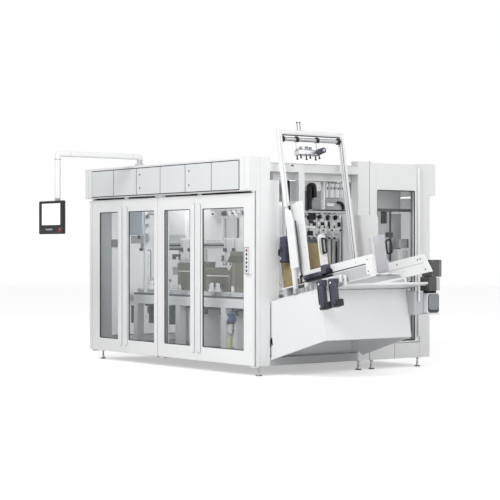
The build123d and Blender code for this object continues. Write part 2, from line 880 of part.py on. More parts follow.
# magazine frame: the near side beam in two steps, the far one with a slanted end, and the feed
# bed on three bearers between them
with BuildPart(magazine) as magazine_frame:
    near_beam = (beam_start, beam_end)
    block(near_beam, (beam_y[0], beam_inner_y[0]), (table_top, table_top + beam_h))
    block(
        near_beam,
        (beam_y[0], beam_y[0] + beam_joint_depth),
        (table_top + beam_joint_rise, table_top + beam_joint_rise + beam_joint),
        mode=Mode.SUBTRACT,
    )
    block(
        (table_start, table_end - feed_end_inset),
        (beam_inner_y[0], upright_y[1]),
        (feed_z - feed_thick, feed_z),
    )
    for x in bearer_x:
        block((x, x + bearer_w), beam_inner_y, (table_top, feed_z - feed_thick))
    with BuildSketch(Plane.XZ.offset(-beam_y[1])):
        Polygon(
            on_slope(far_beam_start, far_beam_z[0]),
            on_slope(far_beam_low, far_beam_z[0]),
            on_slope(far_beam_top, far_beam_z[1]),
            on_slope(far_beam_start, far_beam_z[1]),
            align=None,
        )
    extrude(amount=beam_thick)
magazine_frame.part.label = "magazine_frame"
export_step(magazine_frame.part, "parts/magazine_frame.step")

# magazine portal: two uprights, the top beam and two tie rods
with BuildPart(magazine) as magazine_portal:
    for y in upright_y:
        block((upright_x, upright_x + upright), (y, y + upright), (table_top, portal_top))
    block(
        (upright_x, upright_x + upright),
        (upright_y[0], upright_y[1] + upright),
        (portal_top - upright, portal_top),
    )
    rod_y = upright_y[0] + tie_rod_inset
    for y in (rod_y, rod_y + tie_rod_step):
        post(upright_x + upright / 2, y, (portal_top, portal_top + tie_rod_h), tie_rod_radius)
magazine_portal.part.label = "magazine_portal"
export_step(magazine_portal.part, "parts/magazine_portal.step")

# pick-up unit: a cross shaft under the portal's top, with a bar and its motor on two arms
cross_x = upright_x + upright / 2
cross_z = portal_top - cross_drop
pick_y = upright_y[0] + pick_inset
pick_top = cross_z - cross_radius - pick_hang
with BuildPart(magazine) as pickup_unit:
    shaft_y(cross_x, (upright_y[0] + upright, upright_y[1]), cross_z, cross_radius)
    block(
        (cross_x - pick_d / 2, cross_x + pick_d / 2),
        (pick_y, pick_y + pick_w),
        (pick_top - pick_h, pick_top),
    )
    for y in (pick_y, pick_y + pick_w - pick_arm):
        block((cross_x - pick_arm / 2, cross_x + pick_arm / 2), (y, y + pick_arm), (pick_top, cross_z))
    shaft_x(
        (cross_x + pick_d / 2, cross_x + pick_d / 2 + pick_motor_length),
        pick_y + pick_w - pick_motor_inset,
        pick_top - pick_h / 2,
        pick_motor_radius,
    )
pickup_unit.part.label = "pickup_unit"
export_step(pickup_unit.part, "parts/pickup_unit.step")

# side guides of the blank stack: the near one and the lever, and the clear one on the far beam
lever_y = (skirt_y[0] + lever_inset, skirt_y[0] + lever_inset + lever_w)
with BuildPart(magazine) as blank_guides:
    block(guide_x, (beam_inner_y[0], beam_inner_y[0] + guide_thick), guide_z)
    block((lever_x, lever_x + guide_thick), lever_y, (feed_z, feed_z + lever_h))
blank_guides.part.label = "blank_guides"
export_step(blank_guides.part, "parts/blank_guides.step")

clear_guide_y = (beam_inner_y[1] - guide_thick, beam_inner_y[1])
with BuildPart(magazine) as clear_guide:
    block(far_guide_x, clear_guide_y, far_guide_z)
clear_guide.part.label = "clear_guide"
export_step(clear_guide.part, "parts/clear_guide.step")

# loop handles: one across the lever, one off the clear guide's free edge
with BuildPart(magazine) as guide_handles:
    handle_x = (lever_x + guide_thick, lever_x + guide_thick + handle_proud)
    handle_y = (lever_y[0] + (lever_w - handle_w) / 2, lever_y[0] + (lever_w + handle_w) / 2)
    block(handle_x, handle_y, (handle_z, handle_z + handle_h))
    block(
        handle_x,
        (handle_y[0] + handle_bar, handle_y[1] - handle_bar),
        (handle_z + handle_bar, handle_z + handle_h - handle_bar),
        mode=Mode.SUBTRACT,
    )
    block((far_guide_x[1], far_guide_x[1] + grip_w), clear_guide_y, (grip_z, grip_z + grip_h))
    block(
        (far_guide_x[1] + handle_bar, far_guide_x[1] + grip_w - handle_bar),
        clear_guide_y,
        (grip_z + handle_bar, grip_z + grip_h - handle_bar),
        mode=Mode.SUBTRACT,
    )
guide_handles.part.label = "guide_handles"
export_step(guide_handles.part, "parts/guide_handles.step")

# stack of board blanks on the feed bed
with BuildPart(magazine) as blank_stack:
    stack_near = skirt_y[0] + stack_inset
    block(stack_x, (stack_near, stack_near + stack_w), (feed_z, feed_z + stack_h))
blank_stack.part.label = "blank_stack"
export_step(blank_stack.part, "parts/blank_stack.step")

# guard sheet beside the opening, folded back to the divide post
sheet_y = recess_y[1] - sheet_setback
with BuildPart() as guard_sheet:
    block((sheet_root_x, sheet_end_x), (sheet_y, sheet_y + sheet_thick), sheet_z)
    block((sheet_root_x, sheet_root_x + sheet_thick), (sheet_y, recess_y[1]), sheet_z)
guard_sheet.part.label = "guard_sheet"
export_step(guard_sheet.part, "parts/guard_sheet.step")

# gearmotors on the near side of the magazine: two hung from a plate, and one along the beam
feed_y = beam_y[0] - feed_motor_out
plate_y = (feed_y + feed_motor_radius, feed_y + feed_motor_radius + feed_plate_thick)
plate_x = (table_end + feed_plate_steps[0], table_end + feed_plate_steps[1])
with BuildPart(magazine) as magazine_motors:
    for step in feed_motor_steps:
        x = table_end + step
        post(x, feed_y, (feed_motor_top - feed_motor_length, feed_motor_top), feed_motor_radius)
        head = (x - feed_motor_radius, x + feed_motor_radius)
        block(head, (feed_y - feed_motor_radius, plate_y[0]), feed_head_z)
    block(plate_x, plate_y, feed_head_z)
    for x in (plate_x[0], plate_x[1] - feed_spacer_w):
        block((x, x + feed_spacer_w), (plate_y[1], beam_y[0]), feed_head_z)
    shaft_x(
        (beam_start + slope_motor_steps[0], beam_start + slope_motor_steps[1]),
        beam_y[0] - slope_motor_radius,
        slope_motor_z,
        slope_motor_radius,
    )
    block(
        (beam_start + slope_box_steps[0], beam_start + slope_box_steps[1]),
        (beam_y[0] - slope_motor_radius, beam_y[0]),
        slope_box_z,
    )

# gearmotors: those, the one beside the opening, and two under the bed's left part
motor_x = x_right + side_motor_x
motor_y = recess_y[0] + side_motor_y
arm_y = recess_y[0] + recess_panel_w
bed_motor_y = bed_y[0] + bed_beam_w + motor_box / 2
bed_motor_z = bed_top - bed_plate - motor_box
with BuildPart() as gearmotors:
    add(magazine_motors.part)
    post(motor_x, motor_y, side_motor_z, side_motor_radius)
    block((x_right, motor_x), (arm_y - side_arm_w, arm_y), side_arm_z)
    for step in bed_motor_steps:
        x = bed_x[0] + step
        block(
            (x - motor_box / 2, x + motor_box / 2),
            (bed_motor_y - motor_box / 2, bed_motor_y + motor_box / 2),
            (bed_motor_z, bed_motor_z + motor_box),
        )
        post(x, bed_motor_y, (bed_motor_z - motor_length, bed_motor_z), motor_radius)
gearmotors.part.label = "gearmotors"
export_step(gearmotors.part, "parts/gearmotors.step")

# drive boxes on a carrier at the table's far edge, linked one over the other, and the housing
edge = on_slope(table_end, table_gap)
drive_x = (edge[0] + drive_steps_x[0], edge[0] + drive_steps_x[1])
link_middle = (drive_x[0] + drive_x[1]) / 2
link_x = (link_middle - drive_carrier_w / 2, link_middle + drive_carrier_w / 2)
with BuildPart() as drive_boxes:
    for y, z in zip(drive_steps_y, drive_steps_z):
        block(drive_x, (table_y[1] + y[0], table_y[1] + y[1]), (edge[1] + z[0], edge[1] + z[1]))
    block(
        link_x,
        (table_y[1] + drive_steps_y[1][0], table_y[1] + drive_steps_y[2][1]),
        (edge[1] + drive_steps_z[2][1], edge[1] + drive_steps_z[1][0]),
    )
    block(
        link_x,
        (table_y[1], table_y[1] + drive_steps_y[1][0]),
        (edge[1] + drive_carrier_z[0], edge[1] + drive_carrier_z[1]),
    )
    block(
        (edge[0] + housing_steps_x[0], edge[0] + housing_steps_x[1]),
        (skirt_y[1], table_y[1] + drive_steps_y[2][0]),
        (edge[1] + housing_steps_z[0], edge[1] + housing_steps_z[1]),
    )
drive_boxes.part.label = "drive_boxes"
export_step(drive_boxes.part, "parts/drive_boxes.step")
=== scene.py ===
import bpy
import bmesh
import numpy as np
from math import cos, pi, radians, sin
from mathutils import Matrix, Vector


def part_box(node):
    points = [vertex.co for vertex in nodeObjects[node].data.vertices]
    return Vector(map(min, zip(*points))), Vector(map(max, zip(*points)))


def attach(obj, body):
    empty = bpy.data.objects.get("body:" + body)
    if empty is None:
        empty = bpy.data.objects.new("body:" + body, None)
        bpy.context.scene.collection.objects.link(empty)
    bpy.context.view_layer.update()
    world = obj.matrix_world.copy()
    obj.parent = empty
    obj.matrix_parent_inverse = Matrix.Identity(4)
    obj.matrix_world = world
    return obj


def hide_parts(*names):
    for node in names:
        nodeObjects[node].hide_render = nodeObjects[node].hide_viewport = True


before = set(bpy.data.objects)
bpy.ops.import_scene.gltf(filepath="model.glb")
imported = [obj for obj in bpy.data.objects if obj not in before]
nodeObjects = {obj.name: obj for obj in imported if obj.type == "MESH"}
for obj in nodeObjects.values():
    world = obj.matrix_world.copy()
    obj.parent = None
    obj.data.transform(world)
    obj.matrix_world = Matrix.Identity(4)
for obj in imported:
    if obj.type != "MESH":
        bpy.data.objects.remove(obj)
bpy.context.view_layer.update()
rng = np.random.default_rng(7)


def boxOf(node):
    # low and high corner of a CAD node, as arrays
    low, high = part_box(node)
    return np.array(low, float), np.array(high, float)


# a shell is one closed surface: its points, its faces, the coat it wears and whether it is curved
def makeShell(points, faces, coat, smooth=False):
    return {"points": np.asarray(points, float).reshape(-1, 3), "faces": faces,
            "coat": coat, "smooth": smooth}


def gridFaces(rings, sides, closed=False):
    # quads between each ring and the next one; every ring goes right round
    ring = np.arange(rings if closed else rings - 1)[:, None] + 0 * np.arange(sides)[None, :]
    side = np.arange(sides)[None, :] + 0 * ring
    after, beside = (ring + 1) % rings, (side + 1) % sides
    quads = np.stack([ring * sides + side, ring * sides + beside, after * sides + beside,
                      after * sides + side], axis=-1)
    return quads.reshape(-1, 4).tolist()


def stack(rings, coat, closed=False, smooth=False):
    # rings joined one to the next; an open stack gets a cap at each end
    rings = np.asarray(rings, float)
    count, sides = rings.shape[:2]
    faces = gridFaces(count, sides, closed)
    if not closed:
        faces += [list(range(sides))[::-1], list(range((count - 1) * sides, count * sides))]
    return makeShell(rings, faces, coat, smooth)


def roundedRect(low, high, radius, steps=2):
    # four quarter arcs, each about its own corner's centre
    radius = max(min(radius, (high[0] - low[0]) * 0.49, (high[1] - low[1]) * 0.49), 0.0001)
    centre = np.array([
        [high[0] - radius, high[1] - radius], [low[0] + radius, high[1] - radius],
        [low[0] + radius, low[1] + radius], [high[0] - radius, low[1] + radius]])
    turn = np.arange(4)[:, None] * pi / 2 + np.linspace(0, pi / 2, steps + 1)[None, :]
    return (centre[:, None, :] + radius * np.stack([np.cos(turn), np.sin(turn)], axis=-1)).reshape(-1, 2)


def lift(flat, depth, axis):
    # a flat outline set at a depth along an axis, its own two coordinates on the other two
    out = np.empty((len(flat), 3))
    out[:, [i for i in range(3) if i != axis]] = flat
    out[:, axis] = depth
    return out


def slab(low, high, coat, edge=0.002, corner=None, axis=None, steps=2):
    # a rounded rectangle carried along one axis, its end rings drawn in by the edge
    low, high = np.minimum(low, high).astype(float), np.maximum(low, high).astype(float)
    axis = int(np.argmin(high - low)) if axis is None else axis
    rest = [i for i in range(3) if i != axis]
    edge = min(edge, (high - low).min() * 0.45)
    corner = edge if corner is None else corner
    depths = (low[axis], low[axis] + edge, high[axis] - edge, high[axis])
    rings = [lift(roundedRect(low[rest] + draw, high[rest] - draw, max(corner - draw, 0.0002), steps),
                  depth, axis) for depth, draw in zip(depths, (edge, 0, 0, edge))]
    return stack(rings, coat)


def windowFrame(outer, inner, depth, axis, coat, edge=0.002, corner=0.004, innerCorner=0.004, steps=2):
    # a rectangle ring: out along the back, round the rim, across the front and back through the window
    (a, b), (c, d) = [np.array(v, float) for v in outer], [np.array(v, float) for v in inner]
    back, front = depth
    lean = edge if front > back else -edge
    rows = [(a, b, edge, corner, back), (a, b, 0, corner, back + lean), (a, b, 0, corner, front - lean),
            (a, b, edge, corner, front), (c, d, -edge, innerCorner, front),
            (c, d, 0, innerCorner, front - lean), (c, d, 0, innerCorner, back + lean),
            (c, d, -edge, innerCorner, back)]
    rings = [lift(roundedRect(p + draw, q - draw, radius, steps), place, axis)
             for p, q, draw, radius, place in rows]
    return stack(rings, coat, closed=True)


def smoothOutline(corners, radius, steps=3):
    # every corner of a flat outline is swapped for a parabola between its two sides
    p = np.asarray(corners, float)
    radius = np.broadcast_to(np.asarray(radius, float), (len(p),))[:, None]
    back, on = np.roll(p, 1, axis=0) - p, np.roll(p, -1, axis=0) - p
    back *= np.minimum(radius / np.linalg.norm(back, axis=1, keepdims=True), 0.48)
    on *= np.minimum(radius / np.linalg.norm(on, axis=1, keepdims=True), 0.48)
    t = np.linspace(0, 1, steps + 1)[None, :, None]
    return (p[:, None] + back[:, None] * (1 - t) ** 2 + on[:, None] * t ** 2).reshape(-1, 2)


def drawnIn(outline, amount):
    # the outline moved inwards, each point along the mitre of its two sides
    side = np.roll(outline, -1, axis=0) - outline
    side /= np.maximum(np.linalg.norm(side, axis=1, keepdims=True), 1e-9)
    out = np.stack([side[:, 1], -side[:, 0]], axis=1)
    before = np.roll(out, 1, axis=0)
    mitre = (out + before) / np.maximum(1 + (out * before).sum(axis=1, keepdims=True), 0.3)
    area = (outline[:, 0] * np.roll(outline[:, 1], -1) - np.roll(outline[:, 0], -1) * outline[:, 1]).sum()
    return outline - mitre * amount * np.sign(area)


def plate(corners, depth, axis, coat, radius=0.004, edge=0.0015, steps=3):
    # a flat outline with rounded corners, carried between two depths
    outline = smoothOutline(corners, radius, steps)
    low, high = min(depth), max(depth)
    edge = min(edge, (high - low) * 0.45)
    rows = ((low, edge), (low + edge, 0), (high - edge, 0), (high, edge))
    return stack([lift(drawnIn(outline, draw) if draw else outline, place, axis) for place, draw in rows],
                 coat)


def roundedPath(corners, radius, steps=5):
    # a line through the corners, each inner one taken as a parabola
    p = np.asarray(corners, float)
    t = np.linspace(0, 1, steps + 1)[None, :, None]
    back, on = p[:-2] - p[1:-1], p[2:] - p[1:-1]
    back = back * np.minimum(radius / np.linalg.norm(back, axis=1, keepdims=True), 0.48)
    on = on * np.minimum(radius / np.linalg.norm(on, axis=1, keepdims=True), 0.48)
    bends = (p[1:-1, None] + back[:, None] * (1 - t) ** 2 + on[:, None] * t ** 2).reshape(-1, 3)
    return np.vstack([p[:1], bends, p[-1:]])


def sweep(path, outline, coat, smooth=True, closed=False):
    # the outline carried along the path, square to it, with one side kept towards the path's plane
    path = np.asarray(path, float)
    ahead = np.roll(path, -1, axis=0) - np.roll(path, 1, axis=0)
    if not closed:
        ahead[0], ahead[-1] = path[1] - path[0], path[-1] - path[-2]
    ahead /= np.linalg.norm(ahead, axis=1, keepdims=True)
    if len(path) > 2:
        plane = np.linalg.svd(path - path.mean(axis=0))[2][-1]
    else:
        plane = np.eye(3)[np.argmin(np.abs(ahead[0]))]
    first = plane - (ahead @ plane)[:, None] * ahead
    first /= np.linalg.norm(first, axis=1, keepdims=True)
    second = np.cross(ahead, first)
    rings = path[:, None] + outline[None, :, :1] * first[:, None] + outline[None, :, 1:] * second[:, None]
    return stack(rings, coat, closed, smooth)


def tube(path, radius, coat, sides=12, closed=False):
    turn = np.linspace(0, 2 * pi, sides, endpoint=False)
    return sweep(path, radius * np.stack([np.cos(turn), np.sin(turn)], axis=1), coat, True, closed)


def lathe(profile, place, axis, coat, sides=24, turned=0.0):
    # radius and height of the profile turned round an axis through the place
    profile = np.asarray(profile, float)
    turn = np.linspace(0, 2 * pi, sides, endpoint=False) + turned
    flat = np.stack([np.cos(turn), np.sin(turn)], axis=1)
    rings = [lift(flat * max(radius, 0.0001), height, axis) for radius, height in profile]
    return stack(np.array(rings) + np.asarray(place, float), coat, smooth=True)


def rod(low, high, radius, axis, coat, sides=16, edge=0.0015):
    # a turned bar between two places along an axis, its rims eased
    place = np.array(low, float)
    length = high[axis] - low[axis]
    rim = min(edge, radius * 0.4)
    profile = [(radius - rim, 0), (radius, rim), (radius, length - rim), (radius - rim, length)]
    return lathe(profile, place, axis, coat, sides)


def repeat(shell, shifts):
    # the same shell set down once for each shift
    shifts = np.asarray(shifts, float).reshape(-1, 3)
    points = (shell["points"][None] + shifts[:, None]).reshape(-1, 3)
    step = len(shell["points"])
    faces = [[i + k * step for i in face] for k in range(len(shifts)) for face in shell["faces"]]
    return makeShell(points, faces, shell["coat"], shell["smooth"])


def bolts(places, axis, radius, coat, out=1, socket=True):
    # cap screws: a low head with an eased rim and a sunk socket
    rise = radius * 0.8 * out
    profile = [(radius, 0), (radius, rise * 0.75), (radius * 0.82, rise)]
    if socket:
        profile += [(radius * 0.5, rise), (radius * 0.5, rise * 0.45)]
    return repeat(lathe(profile, (0, 0, 0), axis, coat, 10), places)


def spaced(first, last, count):
    # places at even steps from first to last
    t = np.linspace(0, 1, count)[:, None]
    return np.array(first, float) * (1 - t) + np.array(last, float) * t


# the magazine's own frame: x up its slope, z square to it
magazine = {"tilt": 10.0, "foot": (0.021, 0.0, 0.768)}
lean = radians(magazine["tilt"])
slopeTurn = np.array([[cos(lean), 0, sin(lean)], [0, 1, 0], [-sin(lean), 0, cos(lean)]])


def onSlope(shells):
    # shells worked out along the slope, set in place
    for shell in shells:
        shell["points"] = shell["points"] @ slopeTurn + np.array(magazine["foot"])
    return shells


def buildPiece(name, body, shells, replaced=()):
    # one mesh of all the shells, each with its own coat, riding on its body
    sizes = np.cumsum([0] + [len(s["points"]) for s in shells])
    points = np.vstack([s["points"] for s in shells])
    faces = [[i + int(start) for i in face] for s, start in zip(shells, sizes) for face in s["faces"]]
    coats = list(dict.fromkeys(s["coat"] for s in shells))
    mesh = bpy.data.meshes.new(name)
    mesh.from_pydata(points.tolist(), [], faces)
    for coat in coats:
        mesh.materials.append(finish[coat])
    mesh.polygons.foreach_set("material_index",
                              np.repeat([coats.index(s["coat"]) for s in shells],
                                        [len(s["faces"]) for s in shells]))
    mesh.polygons.foreach_set("use_smooth", np.repeat([s["smooth"] for s in shells],
                                                      [len(s["faces"]) for s in shells]))
    work = bmesh.new()
    work.from_mesh(mesh)
    bmesh.ops.recalc_face_normals(work, faces=work.faces)
    for edge in work.edges:
        edge.smooth = len(edge.link_faces) == 2 and edge.calc_face_angle(0.0) < radians(38)
    work.to_mesh(mesh)
    work.free()
    piece = bpy.data.objects.new(name, mesh)
    bpy.context.scene.collection.objects.link(piece)
    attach(piece, body)
    if replaced:
        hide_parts(*replaced)
    pieceCount.append(name)
    return piece


def softCopy(name, node, body, coat, width=0.003):
    # the CAD node's own shape, merged to whole faces, with its edges eased
    mesh = nodeObjects[node].data.copy()
    mesh.name = name
    work = bmesh.new()
    work.from_mesh(mesh)
    bmesh.ops.remove_doubles(work, verts=work.verts, dist=0.00002)
    bmesh.ops.dissolve_limit(work, angle_limit=radians(0.5), verts=work.verts, edges=work.edges)
    bmesh.ops.recalc_face_normals(work, faces=work.faces)
    for face in work.faces:
        face.smooth = False
    work.to_mesh(mesh)
    work.free()
    mesh.materials.clear()
    mesh.materials.append(finish[coat])
    piece = bpy.data.objects.new(name, mesh)
    bpy.context.scene.collection.objects.link(piece)
    eased = piece.modifiers.new("easedEdges", "BEVEL")
    eased.width = width
    eased.segments = 2
    eased.limit_method = "ANGLE"
    eased.angle_limit = radians(40)
    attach(piece, body)
    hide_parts(node)
    pieceCount.append(name)
    return piece


pieceCount = []


def shaderSetup(name, roughness, metallic=0.0):
    # a new material with its shader and the object coordinates that its patterns read
    mat = bpy.data.materials.new(name)
    mat.use_nodes = True
    tree = mat.node_tree
    shader = tree.nodes["Principled BSDF"]
    shader.inputs["Roughness"].default_value = roughness
    shader.inputs["Metallic"].default_value = metallic
    coords = tree.nodes.new("ShaderNodeTexCoord")
    return mat, tree, shader, coords.outputs["Object"]


def addNoise(tree, coords, scale, detail=3.0, stretch=(1, 1, 1)):
    # noise over the piece, stretched along an axis where stretch is small
    mapping = tree.nodes.new("ShaderNodeMapping")
    mapping.inputs["Scale"].default_value = stretch
    tree.links.new(coords, mapping.inputs["Vector"])
    noise = tree.nodes.new("ShaderNodeTexNoise")
    noise.inputs["Scale"].default_value = scale
    noise.inputs["Detail"].default_value = detail
    tree.links.new(mapping.outputs["Vector"], noise.inputs["Vector"])
    return noise.outputs["Fac"]


def mapTo(tree, source, low, high, target):
    # noise 0.3 to 0.7 becomes the range low to high
    ramp = tree.nodes.new("ShaderNodeMapRange")
    ramp.inputs["From Min"].default_value = 0.3
    ramp.inputs["From Max"].default_value = 0.7
    ramp.inputs["To Min"].default_value = low
    ramp.inputs["To Max"].default_value = high
    tree.links.new(source, ramp.inputs["Value"])
    tree.links.new(ramp.outputs["Result"], target)


def mixColour(tree, source, first, second, target):
    mix = tree.nodes.new("ShaderNodeMix")
    mix.data_type = "RGBA"
    mix.inputs["A"].default_value = (*first, 1)
    mix.inputs["B"].default_value = (*second, 1)
    ramp = tree.nodes.new("ShaderNodeMapRange")
    ramp.inputs["From Min"].default_value = 0.35
    ramp.inputs["From Max"].default_value = 0.65
    tree.links.new(source, ramp.inputs["Value"])
    tree.links.new(ramp.outputs["Result"], mix.inputs["Factor"])
    tree.links.new(mix.outputs["Result"], target)


def addBump(tree, shader, source, strength, distance):
    bump = tree.nodes.new("ShaderNodeBump")
    bump.inputs["Strength"].default_value = strength
    bump.inputs["Distance"].default_value = distance
    tree.links.new(source, bump.inputs["Height"])
    tree.links.new(bump.outputs["Normal"], shader.inputs["Normal"])


def makeCoat(name, colour, roughness=0.38, peel=0.1, tint=0.985):
    # powder coat: fine orange peel, a slow drift of tone and uneven gloss
    mat, tree, shader, coords = shaderSetup(name, roughness)
    darker = tuple(c * tint for c in colour)
    mixColour(tree, addNoise(tree, coords, 1.7), colour, darker, shader.inputs["Base Color"])
    mapTo(tree, addNoise(tree, coords, 9.0), roughness - 0.012, roughness + 0.018, shader.inputs["Roughness"])
    addBump(tree, shader, addNoise(tree, coords, 620.0, 2.0), peel, 0.0004)
    return mat


def makeMetal(name, colour, roughness=0.32, grain=(1, 1, 1), depth=0.15):
    # brushed or drawn metal: noise pulled out along the grain drives gloss, tone and bump
    mat, tree, shader, coords = shaderSetup(name, roughness, 1.0)
    brushed = addNoise(tree, coords, 70.0, 4.0, grain)
    darker = tuple(c * 0.82 for c in colour)
    mixColour(tree, brushed, colour, darker, shader.inputs["Base Color"])
    mapTo(tree, brushed, roughness - 0.08, roughness + 0.12, shader.inputs["Roughness"])
    addBump(tree, shader, brushed, depth, 0.0003)
    return mat


def makePlastic(name, colour, roughness=0.45, grain=0.2):
    # moulded plastic or rubber: fine spark grain and faint dust
    mat, tree, shader, coords = shaderSetup(name, roughness)
    shader.inputs["Specular IOR Level"].default_value = 0.3
    lighter = tuple(min(1.0, c * 1.2 + 0.003) for c in colour)
    mixColour(tree, addNoise(tree, coords, 14.0), colour, lighter, shader.inputs["Base Color"])
    mapTo(tree, addNoise(tree, coords, 30.0), roughness - 0.06, roughness + 0.08, shader.inputs["Roughness"])
    addBump(tree, shader, addNoise(tree, coords, 900.0, 2.0), grain, 0.0003)
    return mat


def makeBoard(name, colour):
    # corrugated board: long paper fibres up the sheet, faint flute lines, blotches
    mat, tree, shader, coords = shaderSetup(name, 0.85)
    fibres = addNoise(tree, coords, 55.0, 5.0, (1.0, 1.0, 0.12))
    darker = tuple(c * 0.84 for c in colour)
    mixColour(tree, fibres, colour, darker, shader.inputs["Base Color"])
    wave = tree.nodes.new("ShaderNodeTexWave")
    wave.bands_direction = "Z"
    wave.inputs["Scale"].default_value = 13.0
    wave.inputs["Distortion"].default_value = 0.4
    tree.links.new(coords, wave.inputs["Vector"])
    addBump(tree, shader, wave.outputs["Fac"], 0.15, 0.0006)
    return mat


def makePane(name, colour, clear=0.025, grazing=0.12, roughness=0.03):
    # a pane lets most light straight through, and shows more of itself at a flat angle
    mat, tree, shader, coords = shaderSetup(name, roughness)
    shader.inputs["Base Color"].default_value = (*colour, 1)
    facing = tree.nodes.new("ShaderNodeLayerWeight")
    facing.inputs["Blend"].default_value = 0.3
    ramp = tree.nodes.new("ShaderNodeMapRange")
    ramp.inputs["To Min"].default_value = clear
    ramp.inputs["To Max"].default_value = grazing
    tree.links.new(facing.outputs["Fresnel"], ramp.inputs["Value"])
    tree.links.new(ramp.outputs["Result"], shader.inputs["Alpha"])
    addBump(tree, shader, addNoise(tree, coords, 2.5), 0.04, 0.001)
    return mat


def makeScreen(name, colour, glow):
    # lit display: an even glow with a slight drift, under smooth glass
    mat, tree, shader, coords = shaderSetup(name, 0.12)
    drift = addNoise(tree, coords, 3.0, 1.0)
    mixColour(tree, drift, colour, tuple(c * 0.95 for c in colour), shader.inputs["Base Color"])
    mixColour(tree, drift, colour, tuple(c * 0.95 for c in colour), shader.inputs["Emission Color"])
    shader.inputs["Emission Strength"].default_value = glow
    return mat


# colour, then roughness, orange peel and tint where they differ from the usual
coats = {
    "whiteCoat": ((0.8, 0.805, 0.81),),
    "beamCoat": ((0.76, 0.77, 0.78), 0.3),
    "flapCoat": ((0.7, 0.72, 0.735), 0.45, 0.03),
    "greyCoat": ((0.5, 0.515, 0.53), 0.42),
    "midCoat": ((0.33, 0.345, 0.36), 0.45),
    "shadeCoat": ((0.17, 0.175, 0.18), 0.5),
    "darkCoat": ((0.045, 0.05, 0.055), 0.5),
    "floorCoat": ((0.2, 0.2, 0.195), 0.55, 0.2, 0.85),
    "smokeCoat": ((0.08, 0.081, 0.078), 0.45),
    "motorCoat": ((0.056, 0.058, 0.088), 0.3, 0.3, 0.85),
    "blueCoat": ((0.03, 0.045, 0.17), 0.4),
    "glassGrey": ((0.26, 0.28, 0.31), 0.15),
    "hazeCoat": ((0.52, 0.58, 0.65), 0.3),
    "limeCoat": ((0.6, 0.63, 0.28), 0.45),
}
# colour, roughness, the stretch of the grain and its depth
metals = {
    "steel": ((0.62, 0.63, 0.65), 0.3, (0.04, 1, 1)),
    "aluminium": ((0.8, 0.81, 0.83), 0.38, (1, 1, 0.05), 0.1),
    "chrome": ((0.78, 0.78, 0.79), 0.12, (1, 1, 1), 0.04),
}
# colour, roughness and grain
plastics = {
    "black": ((0.006, 0.006, 0.007),),
    "charcoal": ((0.018, 0.018, 0.021), 0.5),
    "gasket": ((0.03, 0.032, 0.034), 0.6),
    "greyPlastic": ((0.36, 0.37, 0.38), 0.5),
    "rubber": ((0.018, 0.018, 0.018), 0.75, 0.4),
    "redButton": ((0.3, 0.02, 0.03), 0.3, 0.05),
    "paleRed": ((0.34, 0.14, 0.16), 0.4, 0.05),
    "darkRed": ((0.12, 0.014, 0.02), 0.35, 0.05),
}
# colour; the cartons' board is the blanks' board painted darker, as painted shade inside the machine
boards = {
    "board": ((0.36, 0.29, 0.15),),
    "cartonBoard": ((0.185, 0.168, 0.115),),
    "cartonDim": ((0.13, 0.115, 0.078),),
    "cartonShade": ((0.08, 0.066, 0.042),),
    "boardEdge": ((0.3, 0.23, 0.11),),
}
# colour, how much of itself it shows straight on and at a flat angle, roughness
panes = {
    "pane": ((0.7, 0.78, 0.8),),
    "farPane": ((0.78, 0.8, 0.81), 0.48, 0.6, 0.2),
    "clearSheet": ((0.72, 0.72, 0.77), 0.48, 0.62, 0.12),
}
# colour and glow
screens = {
    "screen": ((0.86, 0.87, 0.89), 0.3),
}
finish = {}
makers = ((makeCoat, coats), (makeMetal, metals), (makePlastic, plastics), (makeBoard, boards),
          (makePane, panes), (makeScreen, screens))
for make, kinds in makers:
    for name, values in kinds.items():
        finish[name] = make(name, *values)
print("stage: materials", len(finish))

# front doors: a leaf round its window, the gasket in it, a full-height grip and the small caps
door = {"edge": 0.003, "gasketWide": 0.009, "gripProud": 0.022, "gripInset": 0.032, "gripWide": 0.044,
        "gripEnd": 0.09, "gripRound": 0.01, "sealWide": 0.016, "capRadius": 0.007, "hingeInset": 0.015,
        "fit": 0.0002}


def gasketFrame(low, high, axis, wide, depth, edge, innerCorner):
    # a dark frame just inside the pane's outline, as wide as asked
    rest = [i for i in range(3) if i != axis]
    outer = (low[rest] + door["fit"], high[rest] - door["fit"])
    return windowFrame(outer, (low[rest] + wide, high[rest] - wide), depth, axis, "gasket",
                       edge, 0.012, innerCorner)


def hingeCaps(x, y, foot, head):
    # the small caps in a leaf's lower and upper rim, over its pivots
    rim = door["capRadius"] + 0.003
    return [lathe([(rim, -0.0004 * out), (rim, 0.002 * out), (door["capRadius"], 0.0028 * out)], (x, y, z),
                  2, "steel", 16) for z, out in ((foot, -1), (head, 1))]


